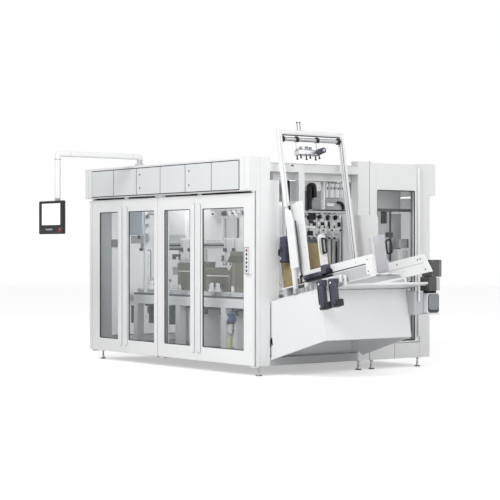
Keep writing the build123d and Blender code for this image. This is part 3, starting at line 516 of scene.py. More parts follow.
doorBodies = ("door_one", "door_two", "door_three", "door_four")
fit = door["fit"]                          # the hair of space that keeps two surfaces apart
for number, body in enumerate(doorBodies, start=1):
    low, high = boxOf(f"front_door_{number}")
    paneLow, paneHigh = boxOf(f"front_glass_{number}")
    face, back = low[1] + door["gripProud"], high[1]    # the grip stands proud of the leaf
    outer = ((low[0], low[2]), (high[0], high[2]))
    inner = ((paneLow[0], paneLow[2]), (paneHigh[0], paneHigh[2]))
    shells = [
        windowFrame(outer, inner, (back, face), 1, "whiteCoat", door["edge"], 0.005, 0.012),
        gasketFrame(paneLow, paneHigh, 1, door["gasketWide"],
                    (paneLow[1] - fit, paneLow[1] - 0.006), 0.001, 0.006),
        # the reveal behind the pane is lined in black as well, which shows as the dark edge of each window;
        # the black lining also paints the shade in the reveal
        gasketFrame(paneLow, paneHigh, 1, 0.004, (back + 0.0005, paneHigh[1] + fit), 0.0008, 0.008),
    ]
    freeSide = number in (1, 3)
    gripLeft = high[0] - door["gripInset"] - door["gripWide"] if freeSide else low[0] + door["gripInset"]
    gripX = (gripLeft, gripLeft + door["gripWide"])
    gripZ = (low[2] + door["gripEnd"], high[2] - door["gripEnd"])
    shells += [
        # a mid-grey strip between the leaf and the grip: painted shade under the bar
        slab((gripX[0] + 0.004, face + fit, gripZ[0] + 0.004),
             (gripX[1] - 0.004, face - 0.007, gripZ[1] - 0.004), "midCoat", 0.001, 0.001, 2),
        slab((gripX[0], face - 0.005, gripZ[0]), (gripX[1], low[1], gripZ[1]), "whiteCoat", 0.004,
             door["gripRound"], 2, 4),
    ]
    for z in gripZ:                        # end plugs of the grip profile
        reach = 0.004 if z == gripZ[0] else -0.004
        shells.append(slab((gripX[0] + 0.005, face - 0.009, z - reach * 0.8),
                           (gripX[1] - 0.005, low[1] + 0.004, z + reach), "greyPlastic", 0.0008, 0.004, 2))
    hingeX = low[0] + door["hingeInset"] if freeSide else high[0] - door["hingeInset"]
    shells += hingeCaps(hingeX, (face + back) / 2, low[2], high[2])
    buildPiece(f"frontDoor{number}", body, shells, (f"front_door_{number}",))
print("stage: front doors")

# black seals between the leaves and the body, and the brackets that carry the pivots
frontSeal = {"inset": 0.01, "hingeInset": 0.074, "bead": 0.004}
shells = []
postLow, postHigh = boxOf("frame_posts")
bodyFront = -0.065
for number in range(1, 5):
    low, high = boxOf(f"front_door_{number}")
    back = high[1] + 0.0006
    # on the hinge side the seal stays clear of the leaf's swinging corner
    left, right = ("hingeInset", "inset") if number % 2 else ("inset", "hingeInset")
    a = low[[0, 2]] + (frontSeal[left], frontSeal["inset"])
    b = high[[0, 2]] - (frontSeal[right], frontSeal["inset"])
    shells.append(windowFrame(
        (a, b), (a + door["sealWide"], b - door["sealWide"]),
        (bodyFront - fit, back), 1, "gasket", frontSeal["bead"], 0.004, 0.004))
pivotTop = boxOf("door_pivots")[1][2]
headerLow, headerHigh = boxOf("header_boxes")
sealZ = headerLow[2]
for number in range(1, 5):
    low, high = boxOf(f"front_door_{number}")
    # the dark rubber strip under the header is painted shade for the deep gap there, broken where a bracket
    # comes down
    shells.append(slab((low[0] + 0.045, bodyFront - 0.007, high[2] + 0.003),
                       (high[0] - 0.045, bodyFront - fit, sealZ - 0.0005), "rubber", 0.001))
buildPiece("doorSeals", "machine", shells)

bracket = {"wide": 0.042, "reach": 0.016, "corner": 0.004, "foot": 0.095, "pin": 0.006, "pinReach": 0.022}
footTop = 0.105


def hingePins(x, y, lowEnd, highEnd):
    # two pins, each from the bracket into the leaf
    reach = bracket["pinReach"]
    spans = ((lowEnd[0], lowEnd[1] + reach), (highEnd[0] - reach, highEnd[1]))
    return [rod((x, y, z0), (x, y, z1), bracket["pin"], 2, "steel", 16, 0.001) for z0, z1 in spans]


shells = []
for number, side in ((1, -1), (2, 1), (3, -1), (4, 1)):
    low, high = boxOf(f"front_door_{number}")
    x0 = low[0] if side < 0 else high[0] - bracket["wide"]
    x1 = x0 + bracket["wide"]
    leafBack = high[1]
    leafFace = low[1] + door["gripProud"]
    shells += [
        slab((x0, leafFace, sealZ - bracket["reach"]), (x1, leafBack, sealZ), "whiteCoat",
             0.0015, bracket["corner"]),
        slab((x0, leafFace, bracket["foot"]), (x1, -0.025, footTop), "whiteCoat",
             0.0015, bracket["corner"]),
    ]
    hingeX = low[0] + door["hingeInset"] if side < 0 else high[0] - door["hingeInset"]
    middle = (leafFace + leafBack) / 2
    shells += hingePins(hingeX, middle, (footTop, low[2]), (high[2], sealZ - bracket["reach"]))
    shells += [
        bolts(spaced((x0 + 0.01, leafFace, sealZ - 0.008), (x1 - 0.01, leafFace, sealZ - 0.008), 2), 1,
              0.0035, "steel", -1, False),
        lathe([(0.0115, 0), (0.0115, -0.006), (0.0105, -0.007), (0.004, -0.007)],
              (hingeX, middle, bracket["foot"]), 2, "steel", 6),
    ]
sideLow, sideHigh = boxOf("side_door")
pinX, pinY = sideHigh[0] - 0.034 - 0.011, sideLow[1] + 0.012
shells += hingePins(pinX, pinY, (sideLow[2] - 0.01, sideLow[2]), (sideHigh[2], pivotTop - 0.005))
shells.append(slab((pinX - 0.011, sideLow[1] - 0.01, pivotTop - 0.005),
                   (pinX + 0.011, pinY + 0.012, pivotTop), "steel", 0.001, 0.002))
buildPiece("doorPivots", "machine", shells, ("door_pivots",))
print("stage: seals and pivots")

# header boxes: rounded housings, the flap panels set in a dark frame, and their locks
header = {"corner": 0.014, "frameWide": 0.01, "flapRound": 0.003, "lockInset": 0.072, "locked": (2, 4),
          "flapCount": 6, "flapGap": 0.011, "sideLeft": 0.171, "sideRight": 0.169, "foot": 0.02,
          "head": 0.038, "endSeam": 0.075, "rearDeep": 0.088}
lockProfile = np.array([(0.0105, 0.006), (0.0105, 0.0078), (0.0095, 0.0085),
                        (0.0055, 0.0085), (0.005, 0.0065)])
shells = []
flaps = []
z0, z1 = headerLow[2], headerHigh[2]
x0, x1 = headerLow[0], headerHigh[0]
rearWall = headerHigh[1] - header["rearDeep"]
for side, face, wall in ((-1, headerLow[1], bodyFront), (1, headerHigh[1], rearWall)):
    shells.append(slab((x0, wall, z0), (x1, face, z1), "whiteCoat", 0.003, header["corner"], 0, 5))
    span0, span1 = x0 + header["sideLeft"], x1 - header["sideRight"]
    flapZ = (z0 + header["foot"], z1 - header["head"])
    # the dark frame that shows as a fine line round and between the panels
    shells.append(slab((span0 - header["frameWide"], face + side * 0.0003, flapZ[0] - header["frameWide"]),
                       (span1 + header["frameWide"], face + side * 0.0022, flapZ[1] + header["frameWide"]),
                       "charcoal", 0.0005, 0.003))
    pitch = (span1 - span0 + header["flapGap"]) / header["flapCount"]
    for i in range(header["flapCount"]):
        x = span0 + i * pitch
        flaps.append(slab((x, face + side * 0.0023, flapZ[0]),
                          (x + pitch - header["flapGap"], face + side * 0.006, flapZ[1]), "flapCoat",
                          0.0012, header["flapRound"]))
        if i in header["locked"]:
            lockX = x + header["lockInset"]
            for z in (flapZ[0] + header["lockInset"], flapZ[1] - header["lockInset"]):
                flaps += [
                    lathe(lockProfile * (1, side), (lockX, face, z), 1, "black", 20),
                    slab((lockX - 0.0012, face + side * 0.0066, z - 0.0035),
                         (lockX + 0.0012, face + side * 0.0094, z + 0.0035), "chrome", 0.0004),
                ]
    # seams of the housing's end caps and its lid
    for x in (x0 + header["endSeam"], x1 - header["endSeam"]):
        shells.append(slab((x - 0.001, face + side * 0.0001, z0 + 0.004),
                           (x + 0.001, face + side * 0.0005, z1 - 0.004), "midCoat", 0.0001))
    shells.append(slab((x0 + 0.003, face + side * 0.0001, z1 - 0.0185),
                       (x1 - 0.003, face + side * 0.0004, z1 - 0.017), "greyCoat", 0.0001))
    for x in (x0 + 0.02, x1 - 0.02):
        shells.append(bolts(spaced((x, face, z0 + 0.02), (x, face, z1 - 0.03), 3), 1, 0.0045, "steel", side))
buildPiece("headerHousings", "machine", shells, ("header_boxes",))
buildPiece("headerPanels", "machine", flaps, ("header_flaps",))
print("stage: header")

# button box: a shallow white housing with a dark rim line, one red and five black buttons
buttonBox = {"round": 0.006, "rise": 0.009, "count": 6, "collar": 0.0125, "cap": 0.009, "screwInset": 0.008}
low, high = boxOf("button_box")
boxFace = low[1] + buttonBox["rise"]       # the buttons stand this far off the housing
middle = (low[0] + high[0]) / 2
shells = [
    slab((low[0], boxFace, low[2]), (high[0], high[1], high[2]), "whiteCoat", 0.003,
         buttonBox["round"], 1, 4),
    windowFrame((low[[0, 2]] + 0.002, high[[0, 2]] - 0.002), (low[[0, 2]] + 0.0065, high[[0, 2]] - 0.0065),
                (boxFace + 0.001, boxFace - 0.0012), 1, "charcoal", 0.0004, 0.005, 0.004),
    slab((low[0] + 0.014, boxFace - 0.0002, low[2] + 0.012),
         (high[0] - 0.014, boxFace - 0.0016, high[2] - 0.012), "flapCoat", 0.0006, 0.004),
]
pitch = (high[2] - low[2]) / (buttonBox["count"] + 0.6)
collar = buttonBox["collar"]
for i in range(buttonBox["count"]):
    z = low[2] + pitch * (i + 0.8)
    topOne = i == buttonBox["count"] - 1
    coat = "redButton" if topOne else "black"
    wide = buttonBox["cap"] * (1.12 if topOne else 1.0)
    shells += [
        lathe([(collar, 0), (collar, -0.0032), (collar * 0.86, -0.0042), (collar * 0.8, -0.003)],
              (middle, boxFace, z), 1, "charcoal", 20),
        lathe([(wide, -0.002), (wide, -0.0072), (wide * 0.88, -0.0088), (wide * 0.5, -0.009)],
              (middle, boxFace, z), 1, coat, 20),
        slab((middle + 0.021, boxFace - 0.0014, z - 0.0035),
             (middle + 0.029, boxFace - 0.0021, z + 0.0035), "greyPlastic", 0.0003),
    ]
a, b = low + buttonBox["screwInset"], high - buttonBox["screwInset"]
shells.append(bolts([(x, boxFace, z) for z in (a[2], b[2]) for x in (a[0], b[0])], 1, 0.003, "steel", -1))
buildPiece("buttonBox", "door_four", shells, ("button_box",))

# levelling feet: a rubber pad under a chromed cup, the threaded stem and its nuts
foot = {"pad": 0.034, "stem": 0.011, "thread": 0.0016, "turns": 22}
footLow, footHigh = boxOf("levelling_feet")
shells = []
ridge = np.linspace(0.03, 0.088, foot["turns"] * 2)
thread = [(foot["stem"] - foot["thread"] * (k % 2), z) for k, z in enumerate(ridge)]
padProfile = [(foot["pad"] * 0.93, 0), (foot["pad"], 0.002), (foot["pad"], 0.007),
              (foot["pad"] * 0.97, 0.008)]
cupProfile = [(foot["pad"] * 0.96, 0.0078), (foot["pad"] * 0.97, 0.011), (foot["pad"] * 0.8, 0.014),
              (foot["pad"] * 0.5, 0.018), (0.017, 0.022), (0.0155, 0.028),
              (0.012, 0.03)] + thread + [(foot["stem"], 0.105)]
nutProfile = [(0.017, 0.09), (0.0188, 0.092), (0.0188, 0.103), (0.017, 0.105)]
lowNut = [(0.015, 0.04), (0.0168, 0.0415), (0.0168, 0.0485), (0.015, 0.05)]
footX = (footLow[0] + foot["pad"], footHigh[0] - foot["pad"])
footY = (0.0, 1.37, 1.56, footHigh[1] - foot["pad"])
places = [(x, y, 0.0) for x in footX for y in footY]
shells += [
    repeat(lathe(padProfile, (0, 0, 0), 2, "rubber", 32), places),
    repeat(lathe(cupProfile, (0, 0, 0), 2, "chrome", 24), places),
    repeat(lathe(nutProfile, (0, 0, 0), 2, "steel", 6), places),
    repeat(lathe(lowNut, (0, 0, 0), 2, "steel", 6, 0.3), places),
]
buildPiece("levellingFeet", "machine", shells, ("levelling_feet",))
print("stage: button box and feet")

# the body's posts, sills, beams and walls keep their CAD shapes, with eased edges
softCopy("framePosts", "frame_posts", "machine", "whiteCoat", 0.004)
softCopy("baseFrame", "base_frame", "machine", "greyCoat", 0.003)
softCopy("topFrame", "top_frame", "machine", "whiteCoat", 0.003)
softCopy("endPanels", "end_panels", "machine", "whiteCoat", 0.002)
softCopy("leftEndWall", "left_end_wall", "machine", "whiteCoat", 0.003)
softCopy("rearDoors", "rear_doors", "machine", "whiteCoat", 0.003)

# trim on the body: floor tray, gaskets of the fixed panes, grips of the rear doors, seams, plugs and screws
trim = {"gasketWide": 0.01, "trayThick": 0.002, "sillTop": 0.2, "divide": 1.49, "recess": (0.115, 1.33),
        "paneZ": (0.2625, 1.7735), "rearStile": 0.157, "grip": (0.2, 1.83), "rearGap": 0.008}
xRight, xLeft = postHigh[0], postLow[0]
yFront, yDivide, yRear = bodyFront, trim["divide"], postHigh[1]
sillTop = trim["sillTop"]
recessLow, recessHigh = trim["recess"]
paneFoot, paneHead = trim["paneZ"]
plugProfile = [(0.0085, -0.0002), (0.0085, 0.0012), (0.0075, 0.0018)]
shells = []
for y0, y1 in ((yFront + 0.081, yDivide - 0.081), (yDivide + 0.091, yRear - 0.081)):
    shells.append(slab((xLeft + 0.201, y0, sillTop + 0.0002),
                       (xRight - 0.201, y1, sillTop + trim["trayThick"]), "floorCoat", 0.001, 0.004))
for y0, y1 in ((recessLow, recessHigh), (yDivide, yRear - trim["rearStile"])):
    a, b = (y0 + 0.1205, paneFoot), (y1 - 0.1205, paneHead)
    wide = trim["gasketWide"]
    inner = (a[0] + wide, a[1] + wide), (b[0] - wide, b[1] - wide)
    for back, front in ((0.0115, 0.005), (0.0176, 0.027)):
        shells.append(windowFrame((a, b), inner, (xLeft + back, xLeft + front), 0,
                                  "gasket", 0.0008, 0.006, 0.004))
# grips and gaskets of the rear doors, as on the front
rearLow, rearHigh = boxOf("rear_doors")
pitch = (rearHigh[0] - rearLow[0] + trim["rearGap"]) / 4
for i in range(4):
    x0 = rearLow[0] + i * pitch
    x1 = x0 + pitch - trim["rearGap"]
    grip = x0 + door["gripInset"] if i % 2 else x1 - door["gripInset"] - door["gripWide"]
    shells.append(slab((grip, rearHigh[1] + fit, trim["grip"][0]),
                       (grip + door["gripWide"], rearHigh[1] + 0.02, trim["grip"][1]),
                       "whiteCoat", 0.004, 0.009, 2, 4))
    a, b = (x0 + 0.0975, paneFoot), (x1 - 0.0975, paneHead)
    shells.append(windowFrame((a, b), ((a[0] + 0.009, a[1] + 0.009), (b[0] - 0.009, b[1] - 0.009)),
                              (rearHigh[1] - 0.0065, rearHigh[1] + 0.0006), 1,
                              "gasket", 0.0006, 0.004, 0.004))
# corner post: the dark line beside the fourth door, plugs in the posts, and the rear post's seam
shells.append(slab((xRight - 0.0006, yFront + 0.0475, 0.115),
                   (xRight + 0.0004, yFront + 0.049, 2.292), "midCoat", 0.0001))
plugs = [(y, z) for z in (0.16, 0.75, 1.35, 1.95) for y in (yFront + 0.085, yDivide - 0.08)]
plugs += [(yRear - 0.05, z) for z in (0.25, 0.95, 1.65, 2.18)]
for y, z in plugs:
    shells.append(lathe(plugProfile, (xRight, y, z), 0, "whiteCoat", 18))
seamY = yRear - trim["rearStile"] + 0.002
shells.append(slab((xRight - 0.0002, seamY, 0.11),
                   (xRight + 0.0004, seamY + 0.0015, 2.29), "midCoat", 0.0001))
# recess side panel: its screws, and the small black hinge at its foot
for z in (0.83, 1.42, 2.01):
    shells.append(bolts([(xRight, recessLow + 0.012, z), (xRight, recessLow + 0.108, z)], 0, 0.0035, "steel"))
shells.append(slab((xRight - 0.012, recessLow + 0.001, 0.3), (xRight + 0.004, recessLow + 0.016, 0.385),
                   "black", 0.002, 0.004, 0))
# screws of the plinth, the strips over the lintel, and a dark plug beside them
for y in np.linspace(yDivide + 0.05, yRear - 0.19, 5):
    shells.append(bolts([(xRight, y, 0.125), (xRight, y, 0.255)], 0, 0.0035, "steel"))
shells += [
    slab((xRight + 0.0002, recessLow + 0.004, 2.2385),
         (xRight + 0.0035, recessHigh - 0.004, 2.2445), "greyCoat", 0.0006),
    slab((xRight - 0.002, recessLow + 0.002, 2.1495),
         (xRight + 0.0012, recessHigh - 0.002, 2.1525), "midCoat", 0.0004),
    slab((xRight + 0.0002, recessLow + 0.28, 2.215), (xRight + 0.006, recessLow + 0.31, 2.227),
         "charcoal", 0.001, 0.003),
]
buildPiece("bodyTrim", "machine", shells)
print("stage: body trim")

# side door of the second module, its gasket and its grip
sideDoor = {"edge": 0.003, "gasketWide": 0.01, "gripRound": 0.01, "gripRise": 0.034}
low, high = boxOf("side_door")
face = high[0] - sideDoor["gripRise"]
glassLow, glassHigh = boxOf("side_glass")
outer = ((low[1], low[2]), (high[1], high[2]))
inner = ((glassLow[1], glassLow[2]), (glassHigh[1], glassHigh[2]))
shells = [
    windowFrame(outer, inner, (low[0], face), 0, "whiteCoat", sideDoor["edge"], 0.005, 0.012),
    gasketFrame(glassLow, glassHigh, 0, sideDoor["gasketWide"],
                (glassHigh[0] + fit, glassHigh[0] + 0.006), 0.001, 0.006),
    # the reveal behind the pane lined in black, a lining that also paints the shade in the reveal
    gasketFrame(glassLow, glassHigh, 0, 0.004, (low[0] + 0.0005, glassLow[0] - fit), 0.0006, 0.008),
    # a mid-grey strip between the door and the grip: painted shade under the bar
    slab((face - 0.0002, high[1] - 0.03, low[2] + 0.065), (face + 0.008, high[1] - 0.004, high[2] - 0.033),
         "midCoat", 0.001, 0.001, 2),
    slab((face + 0.006, high[1] - 0.034, low[2] + 0.06), (high[0], high[1], high[2] - 0.028), "whiteCoat",
         0.004, sideDoor["gripRound"], 2, 4),
    # a fold line down the hinge side, and the lock in the free stile
    slab((face - 0.0002, low[1] + 0.0895, low[2] + 0.01),
         (face + 0.0004, low[1] + 0.091, high[2] - 0.01), "greyCoat", 0.0001),
    lathe([(0.011, 0), (0.011, 0.0035), (0.009, 0.005), (0.004, 0.005)],
          (face, low[1] + 0.045, 1.05), 0, "black", 20),
]
shells += hingeCaps(face - 0.011, low[1] + 0.012, low[2], high[2])
shells.append(bolts([(face, y, z) for y in (low[1] + 0.02, high[1] - 0.048) for z in (low[2] + 0.03,
                                                                                      high[2] - 0.03)], 0,
                    0.0035, "steel"))
buildPiece("sideDoor", "end_door", shells, ("side_door",))
shells = [windowFrame(((low[1] + 0.066, low[2] + 0.012), (high[1] - 0.012, high[2] - 0.06)),
                      ((low[1] + 0.084, low[2] + 0.03), (high[1] - 0.03, high[2] - 0.078)),
                      (low[0] - 0.016, low[0] - 0.001), 0, "rubber", 0.003, 0.004, 0.004)]
buildPiece("sideDoorSeal", "machine", shells)
print("stage: side door")

# operator panel on its boom: flanged column, rounded elbow, long arm, drop tube and the turning neck
boom = {"flange": 0.056, "armWide": 0.064, "armRound": 0.02, "elbow": 0.075, "dropRadius": 0.034}
low, high = boxOf("boom_pivot")
pivotX, pivotY = (low[0] + high[0]) / 2, (low[1] + high[1]) / 2
flangeTop = high[2]
shells = [
    lathe([(boom["flange"], low[2]), (boom["flange"], high[2] - 0.012),
           (boom["flange"] * 0.94, high[2] - 0.009), (0.04, high[2] - 0.007), (0.037, high[2] - 0.002),
           (0.036, high[2])], (pivotX, pivotY, 0), 2, "greyCoat", 40),
    bolts([(pivotX + 0.046 * cos(a), pivotY + 0.046 * sin(a), high[2] - 0.0096)
           for a in np.linspace(0.3, 2 * pi + 0.3, 6, endpoint=False)], 2, 0.0045, "steel"),
]
buildPiece("boomFlange", "machine", shells, ("boom_pivot",))

armLow, armHigh = boxOf("panel_boom")
armZ = armHigh[2] - boom["armWide"] / 2
dropY = armLow[1] + boom["armWide"] / 2
half = boom["armWide"] / 2
outline = roundedRect((-half, -half), (half, half), boom["armRound"], 5)
armPath = roundedPath([(pivotX, pivotY, flangeTop + 0.045), (pivotX, pivotY, armZ), (pivotX, dropY, armZ)],
                      boom["elbow"], 10)
armStart = roundedPath([(pivotX, dropY + 0.14, armZ), (pivotX, dropY, armZ), (pivotX, dropY, armZ - 0.06)],
                       0.055, 10)
shells = [
    sweep(np.vstack([armPath[:-1], [[pivotX, dropY + 0.1, armZ]]]), outline, "whiteCoat"),
    sweep(armStart, roundedRect((-half + 0.001, -half + 0.001), (half - 0.001, half - 0.001),
                                boom["armRound"], 5), "whiteCoat"),
    lathe([(0.034, flangeTop + 0.0004), (0.0345, flangeTop + 0.01), (0.031, flangeTop + 0.014),
           (0.031, flangeTop + 0.046)], (pivotX, pivotY, 0), 2, "greyCoat", 32),
    lathe([(0.0355, armZ - 0.06), (0.036, armZ - 0.064), (0.036, armZ - 0.068), (0.0345, armZ - 0.07)],
          (pivotX, dropY, 0), 2, "greyPlastic", 32),
    lathe([(boom["dropRadius"], armZ - 0.05), (boom["dropRadius"], armLow[2] + 0.03)],
          (pivotX, dropY, 0), 2, "whiteCoat", 32),
    lathe([(0.03, armLow[2] + 0.032), (0.03, armLow[2] + 0.012), (0.0262, armLow[2] + 0.01),
           (0.0262, armLow[2])], (pivotX, dropY, 0), 2, "greyPlastic", 32),
    # seam rings of the arm's cover
    sweep([(pivotX, dropY + 0.15, armZ), (pivotX, dropY + 0.153, armZ)], outline * 1.008, "greyPlastic"),
    sweep([(pivotX, pivotY - 0.105, armZ), (pivotX, pivotY - 0.108, armZ)], outline * 1.008, "greyPlastic"),
]
buildPiece("panelArm", "boom", shells, ("panel_boom",))

operator = {"round": 0.012, "stripHigh": 0.072, "button": 0.009, "raised": 0.016, "deep": 0.036,
            "neckWide": 0.045, "keys": 4, "keyPitch": 0.04, "vents": 14, "ventPitch": 0.008}
low, high = boxOf("operator_panel")
low[2] += operator["raised"]               # the photograph shows the frame ending a little nearer the screen
screenLow, screenHigh = boxOf("panel_screen")
front = screenHigh[1]
back = front + operator["deep"]
neck = (pivotX - operator["neckWide"], pivotX + operator["neckWide"])
shells = [
    slab((low[0], front + 0.002, low[2]), (high[0], back - 0.006, high[2]), "charcoal", 0.004,
         operator["round"], 1, 5),
    slab((low[0] + 0.02, back - 0.007, low[2] + 0.02), (high[0] - 0.02, back, high[2] - 0.02),
         "charcoal", 0.002, 0.01, 1, 4),
    # the glossy bezel with the screen's opening, and the strip under it
    windowFrame((low[[0, 2]] + 0.0015, high[[0, 2]] - 0.0015), (screenLow[[0, 2]], screenHigh[[0, 2]]),
                (front + 0.0022, front - 0.002), 1, "black", 0.001, 0.011, 0.003, 4),
    slab((low[0] + 0.012, front - 0.0018, low[2] + 0.012),
         (high[0] - 0.012, front - 0.003, low[2] + operator["stripHigh"]), "charcoal", 0.0006, 0.005, 1, 3),
    slab((neck[0], back - 0.004, high[2] - 0.09), (neck[1], high[1] - 0.022, high[2]),
         "charcoal", 0.003, 0.012, 1, 4),
    lathe([(0.034, high[2] - 0.088), (0.036, high[2] - 0.084), (0.036, high[2] - 0.006),
           (0.034, high[2] - 0.0005)], (pivotX, dropY, 0), 2, "charcoal", 32),
    slab((high[0] - 0.11, front - 0.0028, low[2] + 0.018), (high[0] - 0.03, front - 0.0036, low[2] + 0.07),
         "darkRed", 0.0003, 0.004),
    lathe([(operator["button"], -0.003), (operator["button"], -0.0036),
           (operator["button"] * 0.85, -0.0038), (0.003, -0.004)],
          (high[0] - 0.07, front, low[2] + 0.052), 1, "paleRed", 24),
]
for k in range(operator["keys"]):          # a bare row of small keys where the strip has its words
    x = low[0] + 0.16 + operator["keyPitch"] * k
    shells.append(slab((x, front - 0.0028, low[2] + 0.043), (x + 0.03, front - 0.004, low[2] + 0.06),
                       "greyPlastic", 0.0004, 0.003))
shells.append(lathe([(0.0028, -0.0028), (0.0028, -0.0036), (0.002, -0.0039)],
                    (low[0] + 0.035, front, low[2] + 0.043), 1, "limeCoat", 12))
for i in range(operator["vents"]):         # vents in the back
    x = pivotX + 0.1 + operator["ventPitch"] * i
    shells.append(slab((x, back - 0.0004, low[2] + 0.05),
                       (x + 0.0035, back + 0.0004, low[2] + 0.13), "black", 0.0001))
buildPiece("operatorPanel", "panel", shells, ("operator_panel",))
shells = [slab((screenLow[0] + 0.0003, front - 0.0008, screenLow[2] + 0.0003),
               (screenHigh[0] - 0.0003, front + 0.001, screenHigh[2] - 0.0003),
               "screen", 0.0002, 0.003, 1, 3)]
buildPiece("panelScreen", "panel", shells, ("panel_screen",))
print("stage: operator panel")

# the magazine, worked out along its own slope: skirt, table, beams, portal, guides, stack and drives
skirt = {"sheet": 0.01, "round": 0.006, "edge": 0.002, "screw": 0.0042, "drop": 0.51}
nearY, farY, endX = 0.13, 1.3, 0.844


def slopePoint(x, z):
    # a place given in the machine's frame, seen along the slope
    local = slopeTurn @ (np.array([x, 0.0, z]) - np.array(magazine["foot"]))
    return local[[0, 2]]


corners = [slopePoint(0.045, 0.782), (endX, 0.01), (endX, -skirt["drop"]), slopePoint(0.045, 0.165)]
farCorners = [slopePoint(0.045, 0.782), (endX, 0.01), (endX, -skirt["drop"]), slopePoint(0.153, 0.174),
              slopePoint(0.045, 0.246)]
sheet = skirt["sheet"]
shells = [
    plate(corners, (nearY, nearY + sheet), 1, "beamCoat", skirt["round"], skirt["edge"]),
    plate(farCorners, (farY - sheet, farY), 1, "beamCoat", skirt["round"], skirt["edge"]),
    slab((endX - sheet, nearY + 0.0005, -skirt["drop"]), (endX + 0.0008, farY - 0.0005, 0.0),
         "beamCoat", skirt["edge"]),
    # the returned lip along the end sheet's lower edge, which catches the light as a bright strip
    slab((endX - 0.03, nearY + 0.004, -skirt["drop"] - 0.0002),
         (endX - 0.002, farY - 0.004, -skirt["drop"] + 0.004), "whiteCoat", 0.001),
]
for x in (0.15, 0.44, 0.74):               # screws under the table's edge
    shells.append(bolts([(x, nearY, -0.01)], 1, skirt["screw"], "steel", -1))
shells.append(bolts([(endX + 0.0008, y, -0.03) for y in (0.2, 0.72, 1.23)], 0, skirt["screw"], "steel"))
# hinge of the skirt at its root, and the thin shadow gap above it
root = slopePoint(0.047, 0.36)
shells.append(slab((root[0] + 0.002, nearY - 0.004, root[1] - 0.04),
                   (root[0] + 0.02, nearY + 0.004, root[1] + 0.04), "black", 0.0015, 0.003))
buildPiece("magazineSkirt", "machine", onSlope(shells), ("magazine_skirt",))

table = {"cornerRadius": 0.3, "low": 0.01, "high": 0.032, "near": 0.2, "far": 1.39,
         "start": 0.036, "end": 1.096}
turn = np.linspace(-pi / 2, 0, 15)
arcCentre = (table["end"] - table["cornerRadius"], table["near"] + table["cornerRadius"])
outline = [(table["start"], table["near"])]
outline += [(arcCentre[0] + table["cornerRadius"] * cos(a), arcCentre[1] + table["cornerRadius"] * sin(a))
            for a in turn]
outline += [(table["end"], table["far"]), (table["start"], table["far"])]
shells = [
    plate(outline, (table["low"], table["high"]), 2, "whiteCoat", 0.004, 0.002),
    # the feed bed between the beams, its belts, and the cross bearers under it
    slab((0.036, 0.2625, 0.126), (1.04, 1.0195, 0.14), "whiteCoat", 0.002, 0.004, 2),
]
for y in (0.365, 0.505, 0.645, 0.785, 0.925):
    shells += [
        slab((0.05, y - 0.02, 0.1402), (1.032, y + 0.02, 0.1425), "charcoal", 0.0008, 0.002, 2),
        rod((1.034, y - 0.022, 0.129), (1.034, y + 0.022, 0.129), 0.0135, 1, "steel", 14, 0.001),
    ]
for x in (0.076, 0.535, 0.96):
    shells.append(slab((x, 0.2625, 0.0325), (x + 0.06, 1.0895, 0.1258), "greyCoat", 0.003, 0.004))
shells.append(slab((0.14, 0.3, 0.0322), (0.52, 1.06, 0.06), "shadeCoat", 0.002, 0.004, 2))
# ribbed block under the near beam, seen between the table and the skirt
for i in range(6):
    shells.append(slab((0.4 + 0.038 * i, 0.205, 0.0322), (0.43 + 0.038 * i, 0.234, 0.086),
                       "greyCoat" if i % 2 else "midCoat", 0.002, 0.005, 2))
# folded tray and the small fittings that lie between the ends of the beams
tray = [(0.62, 0.0325), (1.13, 0.0325), (1.13, 0.092), (1.085, 0.092)]
shells += [
    plate(tray, (1.058, 1.062), 0, "whiteCoat", 0.006, 0.0012),
    plate([(0.85, 0.036), (1.1, 0.036), (1.1, 0.074)], (1.0622, 1.0632), 0, "greyCoat", 0.004, 0.0003),
    slab((1.057, 1.1302, 0.0325), (1.064, 1.136, 0.094), "black", 0.0015, 0.002, 2),
    slab((1.048, 0.62, 0.0322), (1.09, 1.12, 0.035), "whiteCoat", 0.0008, 0.004, 2),
    slab((1.07, 1.15, 0.0325), (1.09, 1.175, 0.044), "charcoal", 0.002, 0.004),
]
buildPiece("magazineTable", "machine", onSlope(shells), ("magazine_table",))

